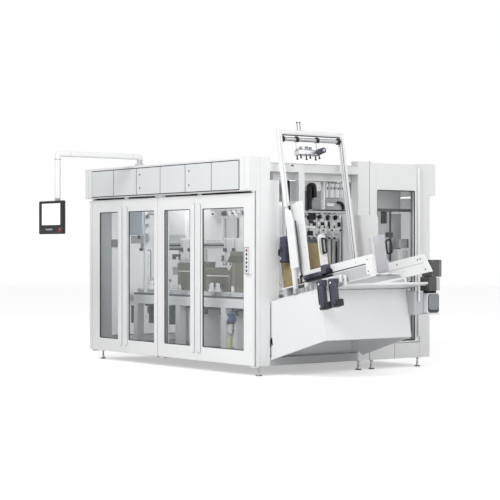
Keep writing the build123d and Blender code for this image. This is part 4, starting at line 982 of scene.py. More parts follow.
# two side beams; the near one is grooved along its outer side, the far one is cut to a slant
beam = {"near": (0.238, 0.262), "far": (1.09, 1.114), "z": (0.032, 0.25), "groove": (0.16, 0.172),
        "grooveDeep": 0.008, "x": (0.475, 1.575), "end": 0.0016}
(y0, y1), (z0, z1), (g0, g1) = beam["near"], beam["z"], beam["groove"]
sunk = y0 + beam["grooveDeep"]
profile = [(y0, z0), (y1, z0), (y1, z1), (y0, z1), (y0, g1), (sunk, g1), (sunk, g0), (y0, g0)]
flat = smoothOutline(profile, [0.003, 0.003, 0.005, 0.005, 0.0012, 0.0008, 0.0008, 0.0012], 3)
(x0, x1), end = beam["x"], beam["end"]
rings = [lift(drawnIn(flat, draw), place, 0)
         for place, draw in ((x0, end), (x0 + end, 0), (x1 - end, 0), (x1, end))]
shells = [
    stack(rings, "whiteCoat"),
    plate([(0.53, 0.084), (1.482, 0.084), (1.388, 0.278), (0.53, 0.278)], beam["far"], 1,
          "whiteCoat", 0.006, 0.0018),
    # end plate of the near beam with its screws, and the step beside it
    slab((1.5752, 0.236, 0.06), (1.58, 0.264, 0.222), "beamCoat", 0.001, 0.004, 0),
    bolts([(1.58, 0.25, 0.09), (1.58, 0.25, 0.195)], 0, 0.0055, "steel"),
    slab((1.52, 0.2622, 0.05), (1.574, 0.276, 0.15), "whiteCoat", 0.002, 0.004, 1),
    # under the groove a greyer band is painted on the beam as the shade below it, and the groove's bottom is
    # painted dark as its shadow
    slab((0.6, 0.2368, 0.04), (1.52, 0.2382, 0.152), "greyCoat", 0.0005, 0.004, 1),
    slab((0.48, 0.2445, 0.1605), (1.56, 0.2458, 0.1715), "darkCoat", 0.0004, 0.001, 1),
    slab((1.47, 0.2345, 0.06), (1.572, 0.2378, 0.24), "whiteCoat", 0.001, 0.006, 1),
    bolts([(1.5, 0.2345, 0.205), (1.5, 0.2345, 0.09)], 1, 0.006, "charcoal", -1),
    slab((0.405, 0.2365, 0.15), (0.56, 0.262, 0.249), "whiteCoat", 0.002, 0.005, 1),
    # drilled white plate beside the feed motors
    slab((0.99, 0.19, -0.002), (1.2, 0.1985, 0.104), "whiteCoat", 0.001, 0.006, 1),
    lathe([(0.011, 0), (0.011, -0.0022), (0.008, -0.0026), (0.004, -0.0018)],
          (1.16, 0.19, 0.06), 1, "shadeCoat", 20),
    # cap screws along both beams and the holes of the far one
    bolts([(x, 0.238, 0.205) for x in (0.56, 0.94, 1.32, 1.54)], 1, 0.0055, "steel", -1),
]
for x, z in ((1.3, 0.235), (1.34, 0.235), (1.4, 0.118), (0.64, 0.235), (0.98, 0.235)):
    shells.append(lathe([(0.0085, 0), (0.0085, -0.0012), (0.005, -0.0014), (0.0046, 0.0)],
                        (x, 1.09, z), 1, "charcoal", 16))
shells += [
    bolts([(x, 1.09, 0.15) for x in (0.62, 1.08, 1.36)], 1, 0.0055, "steel", -1),
    slab((0.56, 1.0885, 0.186), (1.38, 1.0902, 0.19), "midCoat", 0.0004),
]
# feet of the far beam on the table
for x in (0.6, 1.02):
    shells.append(slab((x, 1.094, 0.0322), (x + 0.06, 1.11, 0.086), "whiteCoat", 0.002, 0.003, 0))
buildPiece("magazineBeams", "machine", onSlope(shells), ("magazine_frame",))

# leaning portal: near upright as a folded profile over its foot, far upright as a double rail, top beam, rods
portal = {"x": (0.345, 0.395), "near": (0.175, 0.225), "far": (1.02, 1.07), "top": 1.783, "beamHigh": 0.05,
          "step": 0.95, "foot": 0.032, "teeth": 80}
a, b = portal["near"]
x0, x1 = portal["x"]
foot, top, step = portal["foot"], portal["top"], portal["step"]
beamFoot = top - portal["beamHigh"]
shells = [
    plate([(0.346, a + 0.004), (0.394, a), (x1, b), (0.346, b)], (step, top), 2, "whiteCoat", 0.006, 0.002),
    plate([(0.338, 0.3), (0.462, 0.3), (0.456, 0.76), (0.396, step), (x0, step)], (a + 0.012, b - 0.002), 1,
          "whiteCoat", 0.012, 0.003),
    slab((0.4, a + 0.02, step - 0.03), (0.418, a + 0.04, step + 0.012), "black", 0.001, 0.003, 2),
    plate([(0.346, a + 0.012), (0.392, a + 0.012), (0.392, b - 0.004), (0.346, b - 0.004)], (foot, 0.302),
          2, "beamCoat", 0.006, 0.001),
    # a dark strip beside the leg, wider towards its foot: painted shadow between the leg and the guide
    plate([(0.466, 0.215), (0.484, 0.215), (0.476, 0.79), (0.462, 0.79)], (b - 0.016, b - 0.004), 1,
          "darkCoat", 0.002, 0.001),
    slab((0.452, b - 0.02, 0.128), (0.47, b - 0.006, 0.216), "black", 0.002, 0.003, 2),
    slab((0.452, b - 0.02, 0.196), (0.5, b - 0.006, 0.214), "black", 0.002, 0.003, 2),
    slab((0.348, a + 0.002, foot), (0.393, b, 0.09), "greyCoat", 0.002, 0.005, 2),
    plate([(x0, beamFoot), (x1, beamFoot), (x1, top), (x0, top)], (0.226, 1.019), 1,
          "whiteCoat", 0.005, 0.0015),
    slab((0.352, 0.228, 1.7305), (0.392, 1.017, beamFoot + 0.0002), "darkCoat", 0.0006),
    slab((0.3952, 0.23, 1.742), (0.3965, 1.015, 1.7455), "greyCoat", 0.0004),
]
c, d = portal["far"]
for left, right in ((x0, 0.364), (0.376, x1)):
    shells.append(slab((left, c, foot), (right, d, top), "whiteCoat", 0.002, 0.004, 2))
shells += [
    slab((0.363, c + 0.01, 0.034), (0.377, d - 0.004, 1.78), "darkCoat", 0.001, 0.002, 2),
    slab((x0, c + 0.002, foot), (x1, d, 0.11), "greyCoat", 0.002, 0.005, 2),
    # a seam down the near upright, and the far one's toothed strip: one dash per tooth
    slab((0.3945, 0.19, 0.96), (0.3965, 0.194, 1.715), "greyCoat", 0.0005, 0.001, 2),
]
teeth = spaced((0.3955, 1.03, 0.14), (0.3955, 1.03, 1.7), portal["teeth"])
shells += [
    slab((0.3945, 1.023, 0.12), (0.3963, 1.037, 1.715), "darkCoat", 0.0005, 0.001, 2),
    repeat(slab((-0.001, -0.005, -0.0045), (0.002, 0.005, 0.0045), "whiteCoat", 0.0006, 0.001), teeth),
]
for y in (0.46, 0.498):                    # tie rods with their collars and nuts
    shells += [
        rod((0.37, y, top), (0.37, y, top + 0.1), 0.007, 2, "greyPlastic", 16, 0.001),
        lathe([(0.013, top), (0.013, 1.792), (0.011, 1.794)], (0.37, y, 0), 2, "steel", 6),
        lathe([(0.009, 1.87), (0.009, 1.881), (0.007, 1.883)], (0.37, y, 0), 2, "charcoal", 16),
    ]
for y in (0.2, 1.045):                     # end caps of the uprights
    shells.append(bolts([(0.357, y, top), (0.383, y, top)], 2, 0.0045, "steel"))
shells.append(bolts([(0.37, a + 0.002, z) for z in (0.76, 1.02, 1.28, 1.54, 1.7)], 1, 0.005, "steel", -1))
buildPiece("magazinePortal", "machine", onSlope(shells), ("magazine_portal",))

# pick-up unit: cross shaft with clamps, hanging arms, suction bar with cups, its motor and valve blocks
pickup = {"shaftZ": 1.688, "shaftRadius": 0.022, "barHigh": 1.574, "arms": (0.415, 0.691),
          "clamps": (0.2265, 0.415, 0.691, 0.985)}
shells = [
    rod((0.37, 0.2255, pickup["shaftZ"]), (0.37, 1.0195, pickup["shaftZ"]),
        pickup["shaftRadius"], 1, "steel", 24, 0.001),
    slab((0.325, 0.415, 1.522), (0.415, 0.715, 1.566), "aluminium", 0.002, 0.004, 1),
    slab((0.33, 0.42, 1.5662), (0.352, 0.71, 1.574), "charcoal", 0.001, 0.002, 1),
    slab((0.388, 0.42, 1.5662), (0.41, 0.71, 1.574), "greyPlastic", 0.001, 0.002, 1),
    lathe([(0.03, 0.4152), (0.032, 0.418), (0.032, 0.492), (0.03, 0.495), (0.03, 0.533), (0.026, 0.535)],
          (0, 0.655, 1.544), 0, "motorCoat", 28),
    slab((0.4152, 0.627, 1.516), (0.428, 0.683, 1.572), "steel", 0.002, 0.004, 0),
    lathe([(0.012, 0.535), (0.012, 0.5362), (0.008, 0.5366)], (0, 0.655, 1.544), 0, "chrome", 20),
]
for y in pickup["clamps"]:                 # split clamps on the shaft
    shells += [
        lathe([(0.0225, 0), (0.033, 0.001), (0.034, 0.003), (0.034, 0.025), (0.033, 0.027),
               (0.0225, 0.028)], (0.37, y, pickup["shaftZ"]), 1, "charcoal", 28),
        slab((0.392, y + 0.002, pickup["shaftZ"] - 0.01), (0.41, y + 0.026, pickup["shaftZ"] + 0.01),
             "charcoal", 0.0015, 0.003),
    ]
for y in pickup["arms"]:                   # arms from the shaft to the bar
    shells += [
        slab((0.358, y, pickup["barHigh"]), (0.382, y + 0.024, 1.69), "aluminium", 0.002, 0.004, 2),
        slab((0.352, y - 0.002, pickup["barHigh"]), (0.388, y + 0.026, 1.592), "steel", 0.002, 0.003, 2),
    ]
for x, y in [(x, y) for x in (0.338, 0.402) for y in (0.44, 0.565, 0.69)]:
    # suction feet: a stem, a nut and a bellows cup
    shells.append(lathe([(0.006, 1.522), (0.006, 1.512), (0.009, 1.512), (0.009, 1.506), (0.005, 1.506),
                         (0.005, 1.5), (0.01, 1.497), (0.007, 1.494), (0.0115, 1.49), (0.008, 1.487),
                         (0.0135, 1.48), (0.0115, 1.4795)], (x, y, 0), 2, "charcoal", 18))
for x, y, wide in ((0.345, 0.47, 0.03), (0.362, 0.53, 0.04), (0.34, 0.6, 0.034)):
    shells += [
        slab((x, y, 1.5742), (x + 0.03, y + wide, 1.604), "greyPlastic", 0.0015, 0.003),
        slab((x + 0.004, y + 0.004, 1.604), (x + 0.022, y + wide - 0.004, 1.616), "black", 0.0015, 0.003),
        bolts([(x + 0.015, y + wide / 2, 1.616)], 2, 0.005, "chrome"),
    ]
buildPiece("pickupUnit", "machine", onSlope(shells), ("pickup_unit",))

# near guide: a folded sheet leaning with the slope, screwed to a block on the beam; a flat lever beside it
shells = [
    plate([(0.324, 0.2), (0.54, 0.2), (0.552, 0.262), (0.552, 0.985), (0.335, 0.985), (0.324, 0.96)],
          (0.2622, 0.2665), 1, "whiteCoat", 0.01, 0.001),
    slab((0.5455, 0.2625, 0.204), (0.554, 0.2755, 0.983), "whiteCoat", 0.0015, 0.003, 2),
    slab((0.3242, 0.2625, 0.204), (0.33, 0.2755, 0.956), "whiteCoat", 0.0015, 0.003, 2),
    slab((0.48, 0.2625, 0.25), (0.55, 0.276, 0.33), "greyCoat", 0.002, 0.004, 1),
]
# the lever: a flat bar with a rounded head and a foot block
lever = {"y": 0.49, "half": 0.05, "foot": 0.14, "top": 0.64}
y, half = lever["y"], lever["half"]
head = [(y + half * cos(a), lever["top"] - half + half * sin(a)) for a in np.linspace(0, pi, 13)]
outline = np.array([(y - half, lever["foot"]), (y + half, lever["foot"])] + head)
flatRings = [lift(drawnIn(outline, draw), x, 0)
             for x, draw in ((0.52, 0.002), (0.522, 0), (0.532, 0), (0.534, 0.002))]
shells += [
    stack(flatRings, "whiteCoat"),
    slab((0.514, 0.446, 0.1412), (0.52, 0.534, 0.2), "greyCoat", 0.001, 0.003),
    bolts([(0.534, 0.462, 0.175), (0.534, 0.518, 0.175), (0.534, 0.49, 0.36)], 0, 0.006, "steel"),
    bolts([(0.52, 0.2622, z) for z in (0.27, 0.5, 0.74, 0.93)], 1, 0.0045, "steel", -1),
]
buildPiece("blankGuides", "machine", onSlope(shells), ("blank_guides",))

# far guide: a translucent plate with a brighter bar screwed up its middle and a clamp at its foot
shells = [plate([(0.59, 0.2), (0.85, 0.2), (0.85, 0.575), (0.835, 0.59), (0.605, 0.59), (0.59, 0.575)],
                (1.0765, 1.0835), 1, "clearSheet", 0.006, 0.0015)]
buildPiece("clearGuide", "machine", onSlope(shells), ("clear_guide",))
shells = [
    slab((0.64, 1.072, 0.2005), (0.676, 1.0762, 0.588), "whiteCoat", 0.0012, 0.006, 1),
    slab((0.79, 1.084, 0.2005), (0.806, 1.0885, 0.588), "beamCoat", 0.0012, 0.003, 1),
    slab((0.63, 1.077, 0.192), (0.712, 1.0895, 0.215), "greyCoat", 0.0015, 0.003, 1),
    bolts([(0.658, 1.072, 0.26), (0.658, 1.072, 0.4), (0.658, 1.072, 0.54)], 1, 0.005, "steel", -1),
]
buildPiece("clearGuideBars", "machine", onSlope(shells))

# loop handles: a round bar bent to a long ring, on short lugs
grip = {"bar": 0.01, "bend": 0.02}


def ringLoop(low, high, depth, axis, bend, radius, coat):
    # the rounded rectangle's outline as a closed path, with a round bar carried along it
    path = lift(roundedRect(np.array(low) + radius, np.array(high) - radius, bend, 8), depth, axis)
    return tube(path, radius, coat, 12, closed=True)


shells = [
    ringLoop((0.457, 0.425), (0.523, 0.597), 0.5615, 0, grip["bend"], grip["bar"], "black"),
    ringLoop((0.85, 0.363), (0.946, 0.523), 1.0835, 1, 0.022, 0.0095, "black"),
    slab((0.8502, 1.0768, 0.38), (0.862, 1.0895, 0.506), "charcoal", 0.002, 0.003, 1),
]
for z in (0.432, 0.59):
    shells.append(slab((0.5345, 0.475, z - 0.006), (0.56, 0.505, z + 0.006), "black", 0.002, 0.004))
shells.append(bolts([(0.856, 1.0768, z) for z in (0.4, 0.486)], 1, 0.004, "steel", -1))
buildPiece("guideHandles", "machine", onSlope(shells), ("guide_handles",))

# stack of board blanks on edge: thin upright sheets side by side, each a little off its neighbour
blanks = {"count": 46, "thick": 0.0054, "low": (0.04, 0.3005), "high": (0.32, 0.7395),
          "foot": 0.1405, "head": 0.58}
step = (blanks["high"][0] - blanks["low"][0]) / blanks["count"]
places = blanks["low"][0] + step * np.arange(blanks["count"])
off = rng.uniform(0.0, 0.004, (blanks["count"], 3))
sheets = []
for i, (x, (near, far, down)) in enumerate(zip(places, off)):
    coat = "board" if i % 3 else "boardEdge"
    sheets.append(slab((x, blanks["low"][1] + near, blanks["foot"]),
                       (x + blanks["thick"], blanks["high"][1] - far, blanks["head"] - down),
                       coat, 0.0006, 0.0012, 0, 1))
# the folded flap of the foremost blank, standing up above its neighbours' edge
sheets.append(slab((blanks["high"][0] - 0.0045, 0.32, 0.15), (blanks["high"][0] - 0.0005, 0.725, 0.5795),
                   "board", 0.0008, 0.01, 0, 3))
buildPiece("blankStack", "machine", onSlope(sheets), ("blank_stack",))

# guard sheet: a strip along its fixed edge, a rounded free corner and its screws
guardLow, guardHigh = boxOf("guard_sheet")
y0 = guardLow[1]
guard = {"thick": 0.0095, "corner": 0.06, "fold": 0.01}
corners = [(guardLow[0], guardLow[2]), (guardHigh[0], guardLow[2]), (guardHigh[0], guardHigh[2]),
           (guardLow[0], guardHigh[2])]
shells = [
    plate(corners, (y0, y0 + guard["thick"]), 1, "whiteCoat",
          [0.002, 0.012, guard["corner"], 0.002], 0.001, 8),
    slab((guardLow[0], y0 + 0.0005, guardLow[2]), (guardLow[0] + guard["fold"], guardHigh[1], guardHigh[2]),
         "whiteCoat", 0.0015, 0.003, 2),
]
places = [(guardLow[0] + 0.045, y0, z) for z in (1.235, 1.435, 1.64)]
places += [(guardHigh[0] - 0.05, y0, z) for z in (1.235, 1.435)]
shells.append(bolts(places, 1, 0.006, "steel", -1))
buildPiece("guardSheet", "machine", shells, ("guard_sheet",))
print("stage: magazine")


# gearmotors: ribbed drums with heads, lens discs and terminal boxes
def ribbedDrum(low, high, radius, rib, count):
    # radius along the drum's length: fins at even steps between two plain ends
    length = high - low
    start, stop = low + length * 0.12, high - length * 0.12
    marks = np.linspace(start, stop, count + 1)
    profile = [(radius * 0.9, low), (radius, low + 0.004), (radius, start - 0.002)]
    for first, second in zip(marks[:-1], marks[1:]):
        wide = second - first
        profile += [(radius - rib, first), (radius - rib, first + wide * 0.45),
                    (radius, first + wide * 0.55), (radius, second - wide * 0.05)]
    profile += [(radius, stop + 0.002), (radius, high - 0.004), (radius * 0.9, high)]
    return profile


motor = {"radius": 0.044, "rib": 0.005, "fins": 11, "y": 0.1, "low": -0.208, "high": 0.036}
shells = []
for x in (0.927, 1.11):
    r = motor["radius"]
    shells.append(lathe(ribbedDrum(motor["low"], motor["high"], r, motor["rib"], motor["fins"]),
                        (x, motor["y"], 0), 2, "motorCoat", 32))
    top = 0.092 if x < 1.0 else 0.078
    shells += [
        slab((x - 0.04, motor["y"] - r, 0.03), (x + 0.04, motor["y"] + r, top),
             "motorCoat", 0.004, 0.012, 2, 4),
        # head lens: a white disc in a dark rim, at the head's left; the disc is a painted highlight on the
        # lens
        lathe([(0.021, 0), (0.021, -0.005), (0.019, -0.0062), (0.012, -0.0055)],
              (x + 0.006, motor["y"] - r + 0.0036, top - 0.04), 1, "black", 28),
        lathe([(0.0115, -0.0045), (0.0115, -0.007), (0.007, -0.0078)],
              (x + 0.006, motor["y"] - r + 0.0036, top - 0.04), 1, "whiteCoat", 24),
        slab((x - 0.034, motor["y"] - 0.042, motor["low"] + 0.001),
             (x + 0.034, motor["y"] + 0.042, motor["low"] + 0.03), "charcoal", 0.004, 0.012, 2, 3),
        slab((x + 0.03, motor["y"] - 0.03, motor["low"] + 0.002),
             (x + 0.104, motor["y"] + 0.02, motor["low"] + 0.072), "charcoal", 0.003, 0.006, 0),
        slab((x - 0.05, motor["y"] - 0.028, -0.15), (x - 0.043, motor["y"] + 0.01, 0.03),
             "black", 0.002, 0.003, 0),
    ]
shells.append(slab((0.88, 0.1445, 0.0345), (1.18, 0.1558, 0.1118), "beamCoat", 0.002, 0.006, 1))
for x in (0.89, 1.0, 1.145):
    shells.append(bolts([(x, 0.1445, 0.048), (x, 0.1445, 0.098)], 1, 0.0045, "steel", -1))
for x in (0.9, 1.12):
    shells.append(slab((x, 0.156, 0.04), (x + 0.04, 0.2378, 0.106), "greyCoat", 0.002, 0.003))
# slope motor: ribbed drum along the beam, its gear block and a cable gland
shells += [
    lathe(ribbedDrum(0.549, 0.846, 0.031, 0.005, 12), (0, 0.204, 0.172), 0, "motorCoat", 32),
    lathe([(0.026, 0.926), (0.03, 0.93), (0.03, 0.955), (0.026, 0.96)], (0, 0.204, 0.184), 0, "black", 32),
    slab((0.848, 0.17, 0.165), (0.928, 0.2364, 0.256), "motorCoat", 0.003, 0.008, 0, 3),
    slab((0.64, 0.168, 0.158), (0.7, 0.182, 0.194), "charcoal", 0.002, 0.004),
    # a black strip under the drum: painted shadow along its lower edge
    slab((0.549, 0.169, 0.128), (0.96, 0.2364, 0.138), "black", 0.002, 0.004),
    lathe([(0.014, 0.5494), (0.014, 0.5478), (0.01, 0.547)], (0, 0.204, 0.172), 0, "chrome", 20),
]
driveShells = onSlope(shells)

# the one beside the infeed opening, upright on an arm from the recess panel
sideMotor = {"x": 0.12, "y": 0.247, "radius": 0.052, "low": 1.19}
place = (sideMotor["x"], sideMotor["y"], 0)
r = sideMotor["radius"]
driveShells += [
    lathe(ribbedDrum(sideMotor["low"] + 0.012, 1.395, r, 0.005, 10), place, 2, "motorCoat", 36),
    lathe([(r * 0.9, 1.394), (r * 0.96, 1.398), (r * 0.96, 1.452), (r * 0.8, 1.462), (r * 0.55, 1.47)],
          place, 2, "motorCoat", 36),
    lathe([(r * 0.94, sideMotor["low"] + 0.014), (r * 0.94, sideMotor["low"] + 0.003),
           (r * 0.88, sideMotor["low"])], place, 2, "charcoal", 36),
    slab((0.0455, 0.2255, 1.251), (0.085, 0.2345, 1.339), "greyCoat", 0.002, 0.004, 1),
    slab((0.068, 0.2, 1.262), (0.082, 0.292, 1.33), "charcoal", 0.003, 0.006, 0),
    slab((0.1, 0.1955, 1.3), (0.14, 0.206, 1.352), "charcoal", 0.003, 0.006, 1),
    lathe([(0.016, -0.0005), (0.016, -0.0045), (0.012, -0.0055)],
          (sideMotor["x"], 0.1965, 1.235), 1, "chrome", 20),
]


def block(x, y, z, coat, edge=0.002, corner=None, axis=None):
    # a slab given by its three ranges
    return slab((x[0], y[0], z[0]), (x[1], y[1], z[1]), coat, edge, corner, axis)


def blocksOf(parts):
    # named parts; each row has a block's ranges along x, y and z, its coat, edge, corner and axis
    return [block(*row) for row in parts.values()]


# infeed head: rails with a dark strip painted as the shade of their groove, cross bars and the fingers with
# their rollers
infeed = {"x": -0.15, "rail": 0.05, "rails": (0.42, 1.19), "bars": (0.82, 1.44, 1.675, 2.02), "barHigh": 0.05,
          "barThick": 0.016, "fingers": 6, "first": 0.75, "pitch": 0.07}
backX = infeed["x"]
railX, barX = backX + infeed["rail"], backX + infeed["barThick"]
shells = []
for y0 in infeed["rails"]:
    shells += [
        block((backX, railX), (y0, y0 + infeed["rail"]), (0.2, 2.239), "aluminium", 0.003, 0.005, 2),
        # a dark strip down the rail: painted shade for its groove
        block((railX - 0.0002, railX + 0.001), (y0 + 0.021, y0 + 0.029), (0.215, 2.225),
              "darkCoat", 0.0004, 0.0005, 2),
    ]
for z0 in infeed["bars"]:
    shells += [
        block((backX, barX), (0.4702, 1.1898), (z0, z0 + infeed["barHigh"]), "aluminium", 0.002, 0.004, 1),
        bolts([(barX, y, z0 + infeed["barHigh"] / 2) for y in (0.486, 1.174)], 0, 0.006, "steel"),
    ]
for i in range(infeed["fingers"]):
    y = infeed["first"] + infeed["pitch"] * i
    shells.append(block((barX, -0.106), (y + 0.003, y + 0.023), (1.442, 1.738),
                        "aluminium" if i % 2 else "greyPlastic", 0.002, 0.004, 2))
    shells += [rod((-0.104, y + 0.001, z), (-0.104, y + 0.025, z), 0.01, 1, "black", 16)
               for z in (1.452, 1.728)]
    shells += [
        block((-0.1065, -0.1), (y + 0.006, y + 0.02), (1.56, 1.6),
              "black" if i % 2 else "charcoal", 0.0015, 0.003, 0),
        bolts([(-0.1058, y + 0.013, 1.52), (-0.1058, y + 0.013, 1.65)], 0, 0.0055, "steel"),
    ]
buildPiece("infeedHead", "machine", shells, ("infeed_head",))

# cable chain: links along an arch with two hanging legs, on its tray
chain = {"centre": (0.769, 1.998), "radius": 0.034, "thick": 0.042, "wide": (-0.094, -0.048),
         "drops": (0.249, 0.124)}
cy, cz = chain["centre"]
arm = chain["radius"]
arch = [(cy - arm * cos(a), cz + arm * sin(a)) for a in np.linspace(0, pi, 12)]
path = [(cy - arm, cz - chain["drops"][0] + 0.004)] + arch + [(cy + arm, cz - chain["drops"][1] + 0.004)]
path = np.array(path)
lengths = np.concatenate([[0], np.cumsum(np.linalg.norm(np.diff(path, axis=0), axis=1))])
marks = np.arange(0.0, lengths[-1] - 0.016, 0.02)
shells = []
for start in marks:                        # each link is a short block along the line, waisted at its ends
    ends = [np.array([np.interp(s, lengths, path[:, 0]), np.interp(s, lengths, path[:, 1])])
            for s in (start, start + 0.0192)]
    ahead = (ends[1] - ends[0]) / np.linalg.norm(ends[1] - ends[0])
    across = np.array([-ahead[1], ahead[0]])
    half = chain["thick"] / 2
    rings = []
    for s, grow in ((0.0, 0.8), (0.004, 0.985), (0.015, 0.985), (0.0192, 0.8)):
        middle = ends[0] + ahead * s
        flat = roundedRect((-half * grow, chain["wide"][0] + 0.0005),
                           (half * grow, chain["wide"][1] - 0.0005), 0.004, 2)
        rings.append(np.column_stack([flat[:, 1], middle[0] + across[0] * flat[:, 0],
                                      middle[1] + across[1] * flat[:, 0]]))
    shells.append(stack(rings, "black"))
shells += [
    block((-0.094, -0.048), (0.704, 1.24), (1.7255, 1.7485), "greyCoat", 0.002, 0.003, 1),
    block((-0.0935, -0.0475), (0.704, 1.24), (1.7485, 1.76), "black", 0.002, 0.003, 1),
]
for y, foot in ((cy - arm, cz - chain["drops"][0]), (cy + arm, cz - chain["drops"][1])):
    shells.append(block((-0.096, -0.046), (y - 0.022, y + 0.022), (foot, foot + 0.012), "greyPlastic", 0.002))
buildPiece("cableChain", "machine", shells, ("cable_chain",))

# what shows in the opening behind the portal: a cover under the lintel, boards and valve rows
openingParts = {
    "cover": ((-0.08, -0.066), (0.236, 1.328), (2.072, 2.149), "whiteCoat", 0.002, 0.003, 0),
    "topSheet": ((-0.116, -0.108), (0.704, 0.93), (1.962, 2.068), "whiteCoat", 0.001, 0.03, 0),
    "lowSheet": ((-0.118, -0.11), (0.704, 0.93), (1.752, 1.965), "midCoat", 0.001, 0.006, 0),
    "greyBoard": ((-0.07, -0.058), (0.462, 0.576), (1.845, 2.06), "greyCoat", 0.002, 0.004, 0),
    "blackPost": ((-0.074, -0.06), (0.432, 0.458), (1.8, 2.068), "black", 0.002, 0.006, 0),
    "farBox": ((-0.12, -0.096), (1.232, 1.292), (1.766, 2.068), "greyCoat", 0.002, 0.006, 0),
    "farPlate": ((-0.126, -0.112), (0.945, 1.232), (1.766, 2.068), "flapCoat", 0.002, 0.006, 0),
    "upright": ((-0.112, -0.088), (0.95, 0.975), (1.762, 2.066), "whiteCoat", 0.002, 0.005, 2),
    "valveBase": ((-0.112, -0.084), (0.98, 1.225), (1.76, 1.88), "greyPlastic", 0.002, 0.006),
    "whiteTag": ((-0.09, -0.07), (0.99, 1.08), (1.8, 1.832), "whiteCoat", 0.002, 0.004),
    "greyStrip": ((-0.09, -0.074), (1.02, 1.15), (1.85, 1.868), "midCoat", 0.002, 0.004),
}
shells = blocksOf(openingParts)
for i in range(9):                         # valve slices side by side, each with its fittings
    y = 0.984 + 0.0265 * i
    shells += [
        block((-0.112, -0.082), (y, y + 0.0235), (1.895, 2.05),
              ("whiteCoat", "greyCoat", "flapCoat")[i % 3], 0.002, 0.003, 2),
        rod((-0.096, y + 0.0118, 2.05), (-0.096, y + 0.0118, 2.064), 0.0055, 2,
            "charcoal" if i % 2 else "steel", 12),
        block((-0.0822, -0.079), (y + 0.006, y + 0.018), (1.985, 2.01),
              "midCoat" if i % 2 else "charcoal", 0.001),
        lathe([(0.0045, 0), (0.0045, 0.003), (0.003, 0.004)], (-0.082, y + 0.0118, 1.93), 0, "chrome", 12),
    ]
# the second cable chain, short and bent over to the far side
bend = [(1.128, 1.842), (1.15, 1.845), (1.18, 1.838), (1.204, 1.818), (1.212, 1.79), (1.212, 1.766)]
shells.append(sweep(roundedPath([(-0.07, y, z) for y, z in bend], 0.03, 3),
                    roundedRect((-0.014, -0.013), (0.014, 0.013), 0.004, 2), "black"))
# under the tray: suction carriers, a light bar, and small black and white parts
trayParts = {
    "carrier": ((-0.104, -0.072), (0.726, 0.829), (1.65, 1.722), "black", 0.002, 0.006),
    "carrierFoot": ((-0.104, -0.066), (0.755, 0.79), (1.61, 1.648), "charcoal", 0.002, 0.004),
    "lightBar": ((-0.1, -0.08), (0.845, 1.19), (1.523, 1.552), "whiteCoat", 0.002, 0.005),
    "shortBar": ((-0.104, -0.078), (0.69, 0.83), (1.56, 1.585), "whiteCoat", 0.002, 0.005),
    "blackCap": ((-0.07, -0.05), (0.702, 0.773), (1.48, 1.53), "black", 0.002, 0.008),
    "trayLip": ((-0.11, -0.08), (0.72, 1.21), (1.697, 1.712), "flapCoat", 0.002, 0.004),
}
shells += blocksOf(trayParts)
smallParts = (                             # each one's y and z, how wide it is and how high
    (0.872, 1.662, 0.036, 0.044), (0.93, 1.668, 0.022, 0.034), (0.985, 1.65, 0.03, 0.056),
    (1.04, 1.664, 0.02, 0.036), (1.096, 1.652, 0.034, 0.052), (1.16, 1.66, 0.026, 0.04),
    (0.8, 1.585, 0.034, 0.042), (0.86, 1.58, 0.024, 0.052), (0.915, 1.592, 0.03, 0.034),
    (0.968, 1.578, 0.022, 0.06), (1.01, 1.58, 0.018, 0.05), (1.082, 1.588, 0.034, 0.03),
    (1.15, 1.576, 0.028, 0.05),
)
for i, (y, z, wide, high) in enumerate(smallParts):
    coat = ("black", "whiteCoat", "charcoal", "flapCoat")[i % 4]
    shells += [
        block((-0.1, -0.074), (y, y + wide), (z, z + high), coat, 0.002, 0.004),
        rod((-0.073, y + wide / 2, z + high * 0.3), (-0.062, y + wide / 2, z + high * 0.3), 0.007, 0,
            "chrome" if i % 2 else "black", 14),
    ]
for i in range(6):                         # suction cups on stems along the light bar
    y = 0.865 + 0.06 * i
    shells.append(lathe([(0.004, -0.08), (0.004, -0.068), (0.009, -0.066), (0.011, -0.058),
                         (0.009, -0.057)], (0, y, 1.538), 0, "charcoal" if i % 2 else "greyPlastic", 16))
# guides that lead the blank down, and the dark plate behind them, its dark coat painted shade behind the
# guides
downGuides = {
    "backPlate": ((-0.262, -0.252), (0.8, 1.33), (0.86, 1.5), "shadeCoat", 0.002, 0.004, 0),
    "leftGuide": ((-0.25, -0.226), (1.125, 1.165), (1.0, 1.461), "flapCoat", 0.003, 0.006, 2),
    "rightGuide": ((-0.25, -0.226), (1.19, 1.23), (1.0, 1.486), "flapCoat", 0.003, 0.006, 2),
    "leftStop": ((-0.25, -0.234), (1.056, 1.1), (1.0, 1.36), "black", 0.003, 0.006, 2),
    "rightStop": ((-0.25, -0.234), (1.262, 1.3), (1.0, 1.36), "black", 0.003, 0.006, 2),
    "rightFoot": ((-0.25, -0.22), (1.225, 1.32), (1.417, 1.437), "whiteCoat", 0.002, 0.004),
    "leftFoot": ((-0.25, -0.22), (1.0, 1.12), (1.44, 1.47), "midCoat", 0.002, 0.004),
}
shells += blocksOf(downGuides)
buildPiece("infeedFittings", "machine", shells)
print("stage: infeed")

# bed, its slide bars and the station keep their CAD shapes, with eased edges
softCopy("machineBed", "machine_bed", "machine", "flapCoat", 0.003)
softCopy("foldStation", "fold_station", "machine", "whiteCoat", 0.004)

